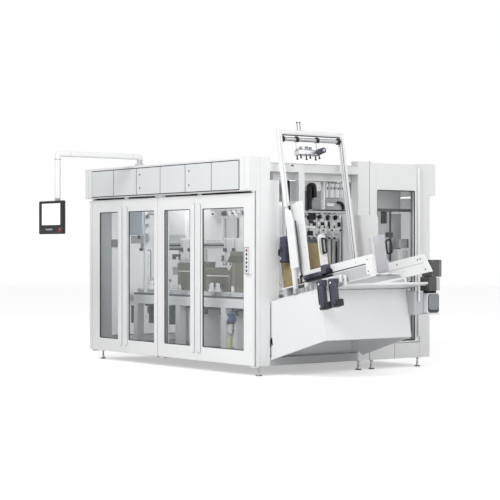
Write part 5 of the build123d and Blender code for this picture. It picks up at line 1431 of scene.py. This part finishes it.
# transport chains: a grooved rail, a row of links with their pins, and the lugs that push the cartons
bedLow, bedHigh = boxOf("machine_bed")
railLow, railHigh = boxOf("transport_chains")
transport = {"wide": 0.036, "railFoot": 0.8052, "railTop": 0.847, "groove": (0.01, 0.8355),
             "lines": (0.384, 0.78), "pitch": 0.0381, "linkLong": 0.034, "linkHigh": 0.013,
             "pinZ": 0.8435, "lugs": 8}
foot, top, pinZ = transport["railFoot"], transport["railTop"], transport["pinZ"]
grooveHalf, grooveFoot = transport["groove"]
long, high = transport["linkLong"] / 2, transport["linkHigh"] / 2
link = plate([(-long, -high), (long, -high), (long, high), (-long, high)], (-0.008, -0.0052), 1,
             "steel", 0.006, 0.0004, 3)
roller = lathe([(0.0048, -0.0052), (0.0048, 0.0052)], (0, 0, 0), 1, "chrome", 10)
shells = []
linkX = np.arange(railLow[0] + 0.022, railHigh[0] - 0.022, transport["pitch"])
span = railHigh[0] - railLow[0]
for y0 in transport["lines"]:
    y1 = y0 + transport["wide"]
    middle = (y0 + y1) / 2
    g0, g1 = middle - grooveHalf, middle + grooveHalf
    profile = [(y0, foot), (y1, foot), (y1, top), (g1, top), (g1, grooveFoot),
               (g0, grooveFoot), (g0, top), (y0, top)]
    shells.append(plate(profile, (railLow[0], railHigh[0]), 0, "greyCoat", 0.0012, 0.0012, 2))
    for dy in (0.0, 0.0132):
        shells.append(repeat(link, [(x, middle + dy, pinZ) for x in linkX]))
    shells.append(repeat(roller, [(x + 0.01 * s, middle, pinZ) for x in linkX for s in (-1, 1)]))
    for i in range(transport["lugs"]):
        x = railLow[0] + (i + 0.5) * span / transport["lugs"]
        shells += [
            plate([(x + 0.002, 0.8475), (x + 0.034, 0.8475), (x + 0.034, 0.88), (x + 0.016, 0.9165),
                   (x + 0.002, 0.9165)], (y0 + 0.006, y1 - 0.006), 1, "whiteCoat", 0.003, 0.0012, 3),
            bolts([(x + 0.018, y0 + 0.006, 0.866)], 1, 0.0045, "steel", -1),
        ]
buildPiece("transportChains", "machine", shells, ("transport_chains",))

# along the bed: the shadow strip under the rails, brackets, adjusters, and cable tray under the plate
bedTrim = {"face": 0.33, "top": 0.8052, "clampPitch": 0.3, "guideY": 0.428}
face, top, guideY = bedTrim["face"], bedTrim["top"], bedTrim["guideY"]
shells = [
    block((bedLow[0] + 0.01, bedHigh[0] - 0.004), (face - 0.0016, face - 0.0001),
          (0.78, 0.8045), "darkCoat", 0.0004),
    block((bedLow[0] + 0.01, bedHigh[0] - 0.004), (face - 0.0012, face - 0.0001),
          (0.7335, 0.7365), "greyCoat", 0.0004),
    block((bedLow[0] + 0.1, bedHigh[0] - 0.1), (0.424, 0.47), (0.64, 0.668), "charcoal", 0.003, 0.004, 0),
]
for x in np.arange(bedLow[0] + 0.14, bedHigh[0] - 0.05, bedTrim["clampPitch"]):
    shells += [
        block((x, x + 0.036), (0.336, 0.38), (top, 0.832), "greyPlastic", 0.002, 0.004),
        lathe([(0.01, 0.832), (0.01, 0.846), (0.008, 0.848)], (x + 0.018, 0.358, 0), 2, "chrome", 20),
        bolts([(x + 0.07, face, 0.705), (x + 0.07, face, 0.765)], 1, 0.006, "steel", -1),
        block((x + 0.04, x + 0.075), (0.425, 0.455), (0.585, 0.655), "black", 0.002, 0.005),
    ]
# side guide on stand-offs over the near rail
for x0, x1 in ((-2.93, -2.3), (-1.82, -1.66), (-0.78, -0.2)):
    shells.append(rod((x0, guideY, 0.958), (x1, guideY, 0.958), 0.007, 0, "chrome", 16))
    for x in (x0 + 0.05, x1 - 0.05):
        shells += [
            rod((x, guideY, top), (x, guideY, 0.951), 0.006, 2, "steel", 14),
            block((x - 0.014, x + 0.014), (0.416, 0.44), (0.945, 0.972), "charcoal", 0.002, 0.005),
        ]
for x in (-2.62, -1.36, -1.24):            # small carriages standing on the bed's near edge
    shells += [
        block((x - 0.05, x + 0.05), (0.334, 0.38), (0.8482, 0.872), "whiteCoat", 0.003, 0.006),
        plate([(x - 0.046, 0.872), (x + 0.046, 0.872), (x + 0.03, 0.93), (x - 0.012, 0.952),
               (x - 0.04, 0.93)], (0.342, 0.362), 1, "whiteCoat", 0.008, 0.002),
        rod((x - 0.06, 0.352, 0.915), (x + 0.078, 0.352, 0.915), 0.008, 0, "chrome", 16),
        block((x + 0.05, x + 0.086), (0.34, 0.366), (0.9, 0.932), "black", 0.002, 0.004),
    ]
buildPiece("bedFittings", "machine", shells)

# cabinets under the bed: a shell, its door with a seam, a lock, hinges and vent slots
cabinet = {"wide": 0.29, "y": (0.43, 0.76), "z": (0.202, 0.63), "rights": (-0.38, -1.02, -1.66), "vents": 7,
           "ventPitch": 0.011}
(y0, y1), (z0, z1) = cabinet["y"], cabinet["z"]
shells = []
for x1 in cabinet["rights"]:
    x0 = x1 - cabinet["wide"]
    shells += [
        block((x0, x1), (y0 + 0.014, y1), (z0, z1), "whiteCoat", 0.003, 0.005),
        block((x0 + 0.004, x1 - 0.004), (y0, y0 + 0.0135), (z0 + 0.03, z1 - 0.006),
              "whiteCoat", 0.002, 0.005, 1),
        block((x0 + 0.004, x1 - 0.004), (y0 + 0.004, y0 + 0.0135), (z0 + 0.002, z0 + 0.026),
              "greyCoat", 0.001, 0.002, 1),
        lathe([(0.011, 0), (0.011, -0.004), (0.009, -0.0055), (0.004, -0.0055)],
              (x1 - 0.03, y0, (z0 + z1) / 2), 1, "black", 20),
    ]
    for z in (z0 + 0.08, z1 - 0.08):
        shells.append(rod((x0 + 0.006, y0 - 0.004, z - 0.02),
                          (x0 + 0.006, y0 - 0.004, z + 0.02), 0.005, 2, "steel", 14))
    for i in range(cabinet["vents"]):
        z = z1 - 0.11 + cabinet["ventPitch"] * i
        shells.append(block((x0 + 0.05, x0 + 0.17), (y0 - 0.0006, y0 + 0.0004),
                            (z, z + 0.0045), "shadeCoat", 0.0002))
# air service on the middle cabinet: a blue regulator block on a black base, and filter bowls
x = -1.075
bowl = [(0.02, 0.4935), (0.026, 0.488), (0.027, 0.4), (0.02, 0.385), (0.006, 0.38)]
shells += [
    block((x - 0.034, x + 0.074), (0.352, 0.4255), (0.52, 0.612), "blueCoat", 0.003, 0.008, 1),
    block((x - 0.04, x + 0.012), (0.346, 0.352), (0.535, 0.6), "whiteCoat", 0.001, 0.006, 1),
    block((x - 0.056, x + 0.054), (0.348, 0.4255), (0.494, 0.5195), "black", 0.002, 0.006),
    lathe(bowl, (x - 0.026, 0.386, 0), 2, "whiteCoat", 24),
    lathe(bowl, (x + 0.03, 0.386, 0), 2, "flapCoat", 24),
    lathe([(0.036, 0.2022), (0.036, 0.3), (0.034, 0.304), (0.034, 0.334), (0.022, 0.346), (0.012, 0.35)],
          (x - 0.012, 0.384, 0), 2, "limeCoat", 28),
    lathe([(0.03, 0.2022), (0.03, 0.33), (0.024, 0.34)], (x - 0.11, 0.386, 0), 2, "whiteCoat", 28),
    lathe([(0.014, -0.0004), (0.014, -0.0044), (0.01, -0.005)], (x + 0.026, 0.352, 0.566), 1, "chrome", 20),
]
# two round bodies on the next cabinet's side, as seen through the fourth door
for z in (0.36, 0.545):
    shells += [
        lathe([(0.036, z), (0.044, z + 0.004), (0.046, z + 0.01), (0.046, z + 0.078), (0.044, z + 0.084),
               (0.03, z + 0.086)], (-1.712, 0.38, 0), 2, "whiteCoat", 32),
        lathe([(0.048, z + 0.03), (0.0485, z + 0.032), (0.0485, z + 0.05), (0.048, z + 0.052)],
              (-1.712, 0.38, 0), 2, "greyPlastic", 32),
        block((-1.76, -1.664), (0.418, 0.4298), (z + 0.01, z + 0.076), "greyCoat", 0.002),
    ]
buildPiece("bedCabinets", "machine", shells, ("bed_cabinets",))

# bed motors join the magazine's in one piece: a box of gears, a square flange and a ribbed drum below
for x in (-2.81, -2.36):
    driveShells += [
        block((x - 0.073, x + 0.073), (0.422, 0.568), (0.66, 0.7925), "flapCoat", 0.004, 0.012, 1),
        block((x - 0.06, x + 0.06), (0.432, 0.556), (0.643, 0.66), "greyCoat", 0.003, 0.008, 2),
        lathe([(0.04, 0), (0.04, -0.003), (0.034, -0.0045), (0.012, -0.0045)],
              (x, 0.4235, 0.725), 1, "steel", 28),
        bolts([(x + 0.055 * sx, 0.422, 0.725 + 0.05 * sz) for sx in (-1, 1) for sz in (-1, 1)], 1, 0.006,
              "steel", -1),
        lathe(ribbedDrum(0.433, 0.642, 0.06, 0.006, 10), (x, 0.495, 0), 2, "black", 36),
        block((x - 0.03, x + 0.03), (0.424, 0.445), (0.555, 0.635), "charcoal", 0.003, 0.006, 1),
    ]
# the drive at the line's left end: a pale gear head with a dark ribbed drum under it
driveShells += [
    block((-3.15, -3.01), (0.35, 0.47), (0.64, 0.792), "flapCoat", 0.004, 0.014, 1),
    lathe([(0.042, 0), (0.042, -0.004), (0.034, -0.006), (0.03, -0.003), (0.012, -0.003)],
          (-3.075, 0.35, 0.73), 1, "steel", 28),
    lathe(ribbedDrum(0.428, 0.64, 0.06, 0.006, 10), (-3.08, 0.41, 0), 2, "charcoal", 36),
]
buildPiece("gearMotors", "machine", driveShells, ("gearmotors",))

# cartons: four walls and a floor of board round an open top, with their flaps turned up
carton = {"wall": 0.006, "y": (0.44, 0.76), "foot": 0.8474, "flap": 0.0035, "inset": 0.0005}


def flapAt(hinge, direction, length, span, axis, coat="cartonBoard"):
    # a sheet from the hinge line, leaning by its direction; axis is the one that the hinge runs along
    end = np.array(hinge) + np.array(direction, float) / np.linalg.norm(direction) * length
    side = np.cross((1, 0, 0) if axis == 0 else (0, 1, 0), direction)
    side = side / np.linalg.norm(side) * carton["flap"] / 2
    rest = [i for i in range(3) if i != axis]
    flat = np.array([np.array(hinge) + side, end + side, end - side, np.array(hinge) - side])[:, rest]
    return plate(flat, span, axis, coat, 0.0012, 0.0012, 1)


shells = []
y0, y1 = carton["y"]
foot, inset, wall = carton["foot"], carton["inset"], carton["wall"]
sizes = ((-2.2, -1.88, 1.097, 0.2), (-1.611, -1.13, 1.052, 0.5), (-1.105, -0.83, 1.242, 0.6))
for x0, x1, top, tilt in sizes:            # each one's left, right and top, and how far its flaps lean out
    a, b = np.array((x0, y0)) + inset, np.array((x1, y1)) - inset
    # walls and flaps in the carton board, painted darker than the blanks as the shade inside the machine
    shells += [
        windowFrame((a, b), (a + wall, b - wall), (foot, top - 0.001), 2,
                    "cartonBoard", 0.0015, 0.004, 0.003),
        block((x0 + 0.006, x1 - 0.006), (y0 + 0.006, y1 - 0.006),
              (foot, foot + 0.006), "cartonShade", 0.001),
        # the seam where the blank's ends are glued
        block((x1 - 0.04, x1 - 0.0385), (y0 - 0.0004, y0 + 0.001),
              (foot + 0.004, top - 0.004), "cartonShade", 0.0002),
        flapAt(((x0 + x1) / 2, y0 + 0.004, top), (0, -tilt, 1), 0.06, (x0 + 0.004, x1 - 0.004), 0),
        flapAt(((x0 + x1) / 2, y1 - 0.004, top), (0, tilt, 1), 0.085, (x0 + 0.004, x1 - 0.004), 0),
        flapAt((x0 + 0.004, 0.6, top), (-tilt, 0, 1), 0.075, (y0 + 0.006, y1 - 0.006), 1),
        flapAt((x1 - 0.004, 0.6, top), (tilt, 0, 1), 0.075, (y0 + 0.006, y1 - 0.006), 1),
        # a pale strap over the front, and the board's inside in shade under it
        block((x0 + 0.02, x1 - 0.02), (y0 - 0.0008, y0 + 0.0008),
              (top - 0.03, top - 0.02), "whiteCoat", 0.0002),
        block((x0 + 0.07, x1 - 0.05), (y0 - 0.0006, y0 + 0.0008),
              (foot + 0.04, top - 0.034), "cartonDim", 0.0002),
    ]
# the tall carton's front flap hangs over, in its own shadow
shells.append(plate([(-1.18, 1.18), (-1.105, 1.296), (-0.86, 1.296), (-0.86, 1.19)],
                    (y0 - 0.007, y0 - 0.0012), 1, "cartonShade", 0.003, 0.001))
buildPiece("cartons", "machine", shells, ("cartons",))

# fittings of the station: linear rails, panels, the folding heads' tools, and what hangs over the line
stationParts = {
    "railLow": ((-2.8, -0.64), (0.7125, 0.7195), (1.348, 1.362), "steel", 0.001, 0.003, 0),
    "railHigh": ((-2.8, -0.64), (0.7125, 0.7195), (1.39, 1.404), "steel", 0.001, 0.003, 0),
    "railSlot": ((-2.8, -0.64), (0.7155, 0.7198), (1.366, 1.386), "charcoal", 0.001, 0.002, 0),
    # seen through the third door: a white panel over a grey one, with a black strip along its foot
    "thirdWhite": ((-2.87, -2.415), (0.698, 0.71), (1.512, 2.12), "whiteCoat", 0.002, 0.006, 1),
    "thirdGrey": ((-2.8, -2.415), (0.694, 0.711), (1.428, 1.51), "greyCoat", 0.002, 0.004, 1),
    "thirdStrip": ((-2.88, -2.4), (0.69, 0.711), (1.318, 1.341), "black", 0.002, 0.004, 0),
    "thirdPost": ((-2.905, -2.88), (0.69, 0.71), (1.33, 1.7), "charcoal", 0.002, 0.004, 2),
    # a camera on the left column, with its bracket and a grey terminal box; its lens follows below
    "camera": ((-2.86, -2.745), (0.8, 0.855), (1.205, 1.268), "black", 0.003, 0.006),
    "cameraBracket": ((-2.79, -2.76), (0.855, 0.8795), (1.215, 1.258), "greyCoat", 0.002),
    "terminalBox": ((-2.85, -2.735), (0.8, 0.8795), (1.015, 1.115), "midCoat", 0.003, 0.005, 1),
    # left end of the line: a mid-grey panel painted as the shade on the end wall's solid part, a cross beam
    # with a hazy box on it, and a bent air pipe
    "endWallShade": ((-3.192, -3.18), (-0.045, 0.127), (0.206, 1.96), "midCoat", 0.001, 0.004, 0),
    "endBoard": ((-3.192, -3.178), (0.129, 0.236), (0.28, 1.8), "whiteCoat", 0.001, 0.004, 0),
    "endLatch": ((-3.178, -3.16), (0.122, 0.236), (1.36, 1.45), "shadeCoat", 0.002, 0.004, 0),
    "upright": ((-2.788, -2.752), (0.336, 0.372), (0.8052, 1.86), "flapCoat", 0.003, 0.005, 2),
    "crossBeam": ((-3.18, -2.79), (0.4, 0.44), (1.4, 1.495), "greyCoat", 0.003, 0.005, 0),
    "hazyBox": ((-3.18, -2.87), (0.372, 0.392), (1.5, 1.79), "hazeCoat", 0.003, 0.01, 1),
    "boxClip": ((-3.0, -2.96), (0.386, 0.4), (1.455, 1.5), "charcoal", 0.002, 0.004),
    "tagMiddle": ((-2.788, -2.7), (0.344, 0.372), (1.6, 1.64), "midCoat", 0.002, 0.004),
    "tagHigh": ((-2.788, -2.7), (0.344, 0.372), (1.7, 1.745), "shadeCoat", 0.002, 0.004),
    "tagLow": ((-2.752, -2.7), (0.34, 0.372), (1.43, 1.52), "midCoat", 0.002, 0.004),
    "hook": ((-2.96, -2.9), (0.386, 0.4), (1.31, 1.345), "black", 0.002, 0.005),
    "hookArm": ((-2.96, -2.93), (0.4, 0.44), (1.318, 1.4), "greyPlastic", 0.002, 0.004),
    # seen through the fourth door: dark upright, white panel and tool carrier over the second head
    "fourthPost": ((-2.11, -2.035), (0.69, 0.711), (1.43, 2.08), "shadeCoat", 0.003, 0.005, 2),
    "fourthWhite": ((-2.03, -1.66), (0.696, 0.71), (1.43, 2.12), "whiteCoat", 0.002, 0.006, 1),
    "innerPost": ((-1.595, -1.565), (0.69, 0.711), (1.2, 1.69), "midCoat", 0.003, 0.005, 2),
    "carrierFoot": ((-1.8, -1.0), (0.64, 0.69), (1.69, 1.715), "flapCoat", 0.003, 0.005, 0),
    "carrierHead": ((-1.8, -1.0), (0.64, 0.69), (1.77, 1.8), "greyCoat", 0.003, 0.005, 0),
    "rightPanel": ((-1.34, -0.74), (0.812, 0.8198), (1.44, 1.82), "flapCoat", 0.002, 0.01, 1),
}
shells = blocksOf(stationParts) + [
    lathe([(0.022, 0), (0.022, -0.02), (0.018, -0.024), (0.016, -0.018), (0.004, -0.017)],
          (-2.8, 0.8, 1.236), 1, "charcoal", 24),
]
for i, x in enumerate(np.linspace(-1.76, -1.06, 8)):        # slices and cylinders on the tool carrier
    shells += [
        block((x, x + 0.052), (0.63, 0.69), (1.716, 1.769),
              ("whiteCoat", "greyCoat", "charcoal", "flapCoat")[i % 4], 0.002, 0.005),
        lathe([(0.011, 0.6295), (0.011, 0.614), (0.008, 0.611)], (x + 0.026, 0, 1.742), 1,
              "chrome" if i % 2 else "black", 16),
    ]
pipe = roundedPath([(-2.9, 0.45, 0.8052), (-2.9, 0.45, 1.32), (-2.8, 0.45, 1.32), (-2.8, 0.45, 0.8052)], 0.04)
shells.append(tube(pipe, 0.0045, "charcoal", 12))
for x in (-2.88, -2.84, -2.8, -2.76):
    shells.append(rod((x, 0.56, 0.8055), (x, 0.56, 0.96), 0.008, 2, "steel", 14))
shells.append(block((-2.91, -2.73), (0.54, 0.58), (0.96, 0.985), "flapCoat", 0.003, 0.005))
# heads: gripper plates, guide rods, cylinders and suction feet under each
for headX in (-2.27, -1.37):
    shells += [
        block((headX - 0.11, headX + 0.11), (0.6125, 0.6198), (1.225, 1.44), "flapCoat", 0.002, 0.008, 1),
        block((headX - 0.2, headX + 0.22), (0.622, 0.69), (1.178, 1.198), "whiteCoat", 0.003, 0.005),
    ]
    for dx in (-0.085, 0.085):
        shells += [
            rod((headX + dx, 0.6, 1.2), (headX + dx, 0.6, 1.455), 0.01, 2, "chrome", 18),
            block((headX + dx - 0.02, headX + dx + 0.02), (0.584, 0.6122), (1.3, 1.345),
                  "charcoal", 0.003, 0.006),
        ]
    for i, dx in enumerate((-0.18, -0.13, -0.05, 0.03, 0.11, 0.18)):
        wide = 0.018 + 0.006 * (i % 3)
        shells += [
            block((headX + dx - wide, headX + dx + wide), (0.6, 0.64), (1.199, 1.24 + 0.018 * (i % 3)),
                  ("whiteCoat", "charcoal", "flapCoat")[i % 3], 0.003, 0.005),
            lathe([(0.005, 1.178), (0.005, 1.16), (0.011, 1.158), (0.008, 1.153), (0.013, 1.146),
                   (0.012, 1.145)], (headX + dx, 0.65, 0), 2, "charcoal", 16),
            bolts([(headX + dx, 0.6, 1.222)], 1, 0.006, "chrome", -1),
        ]
buildPiece("stationFittings", "machine", shells)

# drive boxes on the far side, highest first: covers with seams, a rounded window and a base plate
xa, xb = 0.889, 1.039
boxes = {"round": 0.008, "edge": 0.003}
edge, corner = boxes["edge"], boxes["round"]
boxParts = {
    "topBox": ((xa, xb), (1.4925, 1.64), (1.0405, 1.2195), "smokeCoat", edge, corner, 0),
    "topSeam": ((xb - 0.001, xb + 0.001), (1.6, 1.634), (1.05, 1.21), "shadeCoat", 0.0006, 0.004, 0),
    "middleBox": ((xa + 0.004, xb + 0.0002), (1.4635, 1.565), (0.8905, 1.0395), "smokeCoat", edge, corner, 0),
    "middleCover": ((xa + 0.006, xb + 0.0012), (1.566, 1.612), (0.896, 1.034), "greyCoat", 0.002, 0.005, 0),
    "windowBox": ((xa, xb), (1.4335, 1.6065), (0.6525, 0.8675), "flapCoat", edge, 0.024, 0),
    "windowRim": ((xb - 0.002, xb + 0.001), (1.442, 1.6), (0.662, 0.86), "darkCoat", 0.0006, 0.03, 0),
    "window": ((xb - 0.002, xb + 0.0016), (1.456, 1.596), (0.694, 0.857), "glassGrey", 0.001, 0.03, 0),
    "basePlate": ((xa + 0.002, xb + 0.0014), (1.43, 1.62), (0.6405, 0.652), "whiteCoat", 0.002, 0.004),
    "neck": ((0.934, 0.994), (1.4637, 1.6063), (0.8685, 0.89), "black", 0.002, 0.004),
    "plug": ((0.934, 0.994), (1.3905, 1.4625), (0.9485, 0.97), "greyCoat", 0.002, 0.004),
    "rearBox": ((0.799, 0.984), (1.3005, 1.4325), (0.6405, 0.8875), "greyCoat", 0.003, 0.008, 0),
    "rearCover": ((0.98, 0.9848), (1.312, 1.42), (0.654, 0.874), "greyCoat", 0.001, 0.006, 0),
    # a small white arm that hangs under the table's far end
    "hangingArm": ((0.99, 1.01), (1.34, 1.362), (0.78, 0.955), "whiteCoat", 0.003, 0.006, 2),
}
shells = blocksOf(boxParts)
shells += [
    bolts([(xb, y, z) for y in (1.506, 1.626) for z in (1.054, 1.206)], 0, 0.0045, "steel"),
    bolts([(0.9848, y, z) for y in (1.322, 1.41) for z in (0.666, 0.862)], 0, 0.004, "steel"),
]
buildPiece("driveBoxes", "machine", shells, ("drive_boxes",))

# second module, as seen through the side door: dark bars, a rod with a clamp, boxes and panels
rearParts = {
    "whiteSheet": ((-0.33, -0.318), (1.79, 2.28), (1.795, 2.18), "whiteCoat", 0.002, 0.004, 0),
    "paleBoard": ((-0.34, -0.33), (1.7, 2.3), (1.2, 1.74), "flapCoat", 0.002, 0.004, 0),
    "darkBar": ((-0.124, -0.094), (1.7, 2.24), (1.757, 1.789), "darkCoat", 0.003, 0.005, 1),
    "blackBox": ((-0.128, -0.098), (1.807, 1.876), (1.619, 1.756), "black", 0.003, 0.008),
    "clamp": ((-0.128, -0.1), (1.876, 1.971), (1.464, 1.522), "charcoal", 0.003, 0.006),
    "greyBox": ((-0.26, -0.16), (2.13, 2.25), (1.347, 1.446), "greyPlastic", 0.004, 0.01),
    "boxLid": ((-0.262, -0.158), (2.25, 2.262), (1.345, 1.448), "charcoal", 0.003, 0.008),
    "cabinet": ((-0.3, -0.15), (2.1, 2.24), (0.78, 1.33), "whiteCoat", 0.004, 0.006),
    "darkPost": ((-0.13, -0.092), (2.262, 2.308), (0.2022, 2.238), "shadeCoat", 0.004, 0.006, 2),
    "shelf": ((-0.33, -0.092), (1.7, 2.308), (0.74, 0.775), "greyCoat", 0.003, 0.005),
    "shelfLeg": ((-0.33, -0.295), (1.7, 1.735), (0.2022, 0.74), "greyCoat", 0.003, 0.005, 2),
    "lowBox": ((-0.33, -0.25), (1.72, 1.9), (0.776, 1.06), "midCoat", 0.004, 0.008),
}
shells = blocksOf(rearParts) + [
    rod((-0.112, 1.938, 1.192), (-0.112, 1.938, 1.757), 0.011, 2, "charcoal", 18),
    bolts([(-0.15, y, z) for y in (2.12, 2.22) for z in (0.8, 1.05, 1.3)], 0, 0.005, "steel"),
]
buildPiece("rearModuleFittings", "machine", shells)
print("stage: interior")

# CAD pieces whose shape is right as it is keep it, and only get a better finish
keptNodes = {
    "front_glass_1": "pane", "front_glass_2": "pane", "front_glass_3": "pane", "front_glass_4": "pane",
    "side_glass": "pane", "fixed_panes": "farPane",
}
for node, coat in keptNodes.items():
    nodeObjects[node].data.materials.clear()
    nodeObjects[node].data.materials.append(finish[coat])
print("stage: finishes, pieces", len(pieceCount))

studio = {
    "cameraPlace": (12.7, -9.47, 1.34),
    "cameraTowards": (-0.805, 0.593, 0.0),
    "lens": 108.7,
    "shiftY": -0.0032,
    "worldLight": 0.5,
    "keyPower": 680,
    "fillPower": 215,
    "innerPower": 13,
    "floorColour": (0.86, 0.86, 0.86),
    "floorGlow": 0.46,
}

camera = bpy.data.objects.new("camera", bpy.data.cameras.new("camera"))
camera.data.sensor_width = 36
camera.data.lens = studio["lens"]
camera.data.shift_y = studio["shiftY"]
camera.data.clip_end = 200
camera.location = studio["cameraPlace"]
camera.rotation_euler = Vector(studio["cameraTowards"]).to_track_quat("-Z", "Y").to_euler()
bpy.context.scene.collection.objects.link(camera)
bpy.context.scene.camera = camera
bpy.context.scene.view_settings.view_transform = "Standard"

# the world is plain white to the eye, in mirrors and through glass, and a soft grey as light
world = bpy.data.worlds.new("studioWorld")
world.use_nodes = True
bpy.context.scene.world = world
wTree = world.node_tree
wTree.nodes.clear()
rayKind = wTree.nodes.new("ShaderNodeLightPath")
seen = wTree.nodes.new("ShaderNodeMath")
seenToo = wTree.nodes.new("ShaderNodeMath")
seen.operation = seenToo.operation = "MAXIMUM"
softLight = wTree.nodes.new("ShaderNodeBackground")
whiteView = wTree.nodes.new("ShaderNodeBackground")
softLight.inputs["Strength"].default_value = studio["worldLight"]
softLight.inputs["Color"].default_value = (1, 1, 1, 1)
whiteView.inputs["Color"].default_value = (1, 1, 1, 1)
whiteView.inputs["Strength"].default_value = 1.0
worldMix = wTree.nodes.new("ShaderNodeMixShader")
worldOut = wTree.nodes.new("ShaderNodeOutputWorld")
wTree.links.new(rayKind.outputs["Is Camera Ray"], seen.inputs[0])
wTree.links.new(rayKind.outputs["Is Glossy Ray"], seen.inputs[1])
wTree.links.new(seen.outputs[0], seenToo.inputs[0])
wTree.links.new(rayKind.outputs["Is Transmission Ray"], seenToo.inputs[1])
wTree.links.new(seenToo.outputs[0], worldMix.inputs["Fac"])
wTree.links.new(softLight.outputs[0], worldMix.inputs[1])
wTree.links.new(whiteView.outputs[0], worldMix.inputs[2])
wTree.links.new(worldMix.outputs[0], worldOut.inputs["Surface"])

# pale floor: a wide disc worked out as rings, white to the eye apart from the shadow on it
ringCount, ringSteps = 12, 64
radius = np.linspace(0, 40, ringCount)[:, None]
turn = np.linspace(0, 2 * pi, ringSteps, endpoint=False)[None, :]
floorPoints = np.stack([radius * np.cos(turn), radius * np.sin(turn), 0 * radius * turn],
                       axis=-1).reshape(-1, 3)
ringIndex = np.arange((ringCount - 1) * ringSteps)
nextStep = (ringIndex // ringSteps) * ringSteps + (ringIndex + 1) % ringSteps
floorFaces = np.stack([ringIndex, ringIndex + ringSteps, nextStep + ringSteps, nextStep], axis=-1)
floorMesh = bpy.data.meshes.new("floor")
floorMesh.from_pydata(floorPoints.tolist(), [],
                      floorFaces[ringSteps:].tolist() + [list(range(ringSteps, 2 * ringSteps))])
floor = bpy.data.objects.new("floor", floorMesh)
bpy.context.scene.collection.objects.link(floor)
floorMat = bpy.data.materials.new("floor")
floorMat.use_nodes = True
fTree = floorMat.node_tree
floorShader = fTree.nodes["Principled BSDF"]
floorShader.inputs["Base Color"].default_value = (*studio["floorColour"], 1)
floorShader.inputs["Roughness"].default_value = 0.75
floorShader.inputs["Emission Color"].default_value = (1, 1, 1, 1)
floorRay = fTree.nodes.new("ShaderNodeLightPath")
floorGlow = fTree.nodes.new("ShaderNodeMath")
floorGlow.operation = "MULTIPLY"
floorGlow.inputs[1].default_value = studio["floorGlow"]
fTree.links.new(floorRay.outputs["Is Camera Ray"], floorGlow.inputs[0])
fTree.links.new(floorGlow.outputs[0], floorShader.inputs["Emission Strength"])
floorMesh.materials.append(floorMat)


def addLamp(name, place, target, size, power):
    lamp = bpy.data.objects.new(name, bpy.data.lights.new(name, "AREA"))
    lamp.data.shape = "SQUARE"
    lamp.data.size = size
    lamp.data.energy = power
    lamp.location = place
    lamp.rotation_euler = (Vector(target) - Vector(place)).to_track_quat("-Z", "Y").to_euler()
    bpy.context.scene.collection.objects.link(lamp)


addLamp("keyLamp", (3.5, -7.5, 7.0), (-1.2, 0.5, 1.0), 5.0, studio["keyPower"])
addLamp("fillLamp", (8.5, 2.5, 5.0), (0.0, 1.0, 1.0), 5.0, studio["fillPower"])
# the machine's own lamps, under its roof: they light the inside and aren't seen themselves
for name, x in (("innerLampLeft", -2.3), ("innerLampRight", -0.9)):
    addLamp(name, (x, 0.7, 2.14), (x, 0.75, 0.8), 0.9, studio["innerPower"])
    bpy.data.objects[name].visible_camera = False
print("stage: studio")
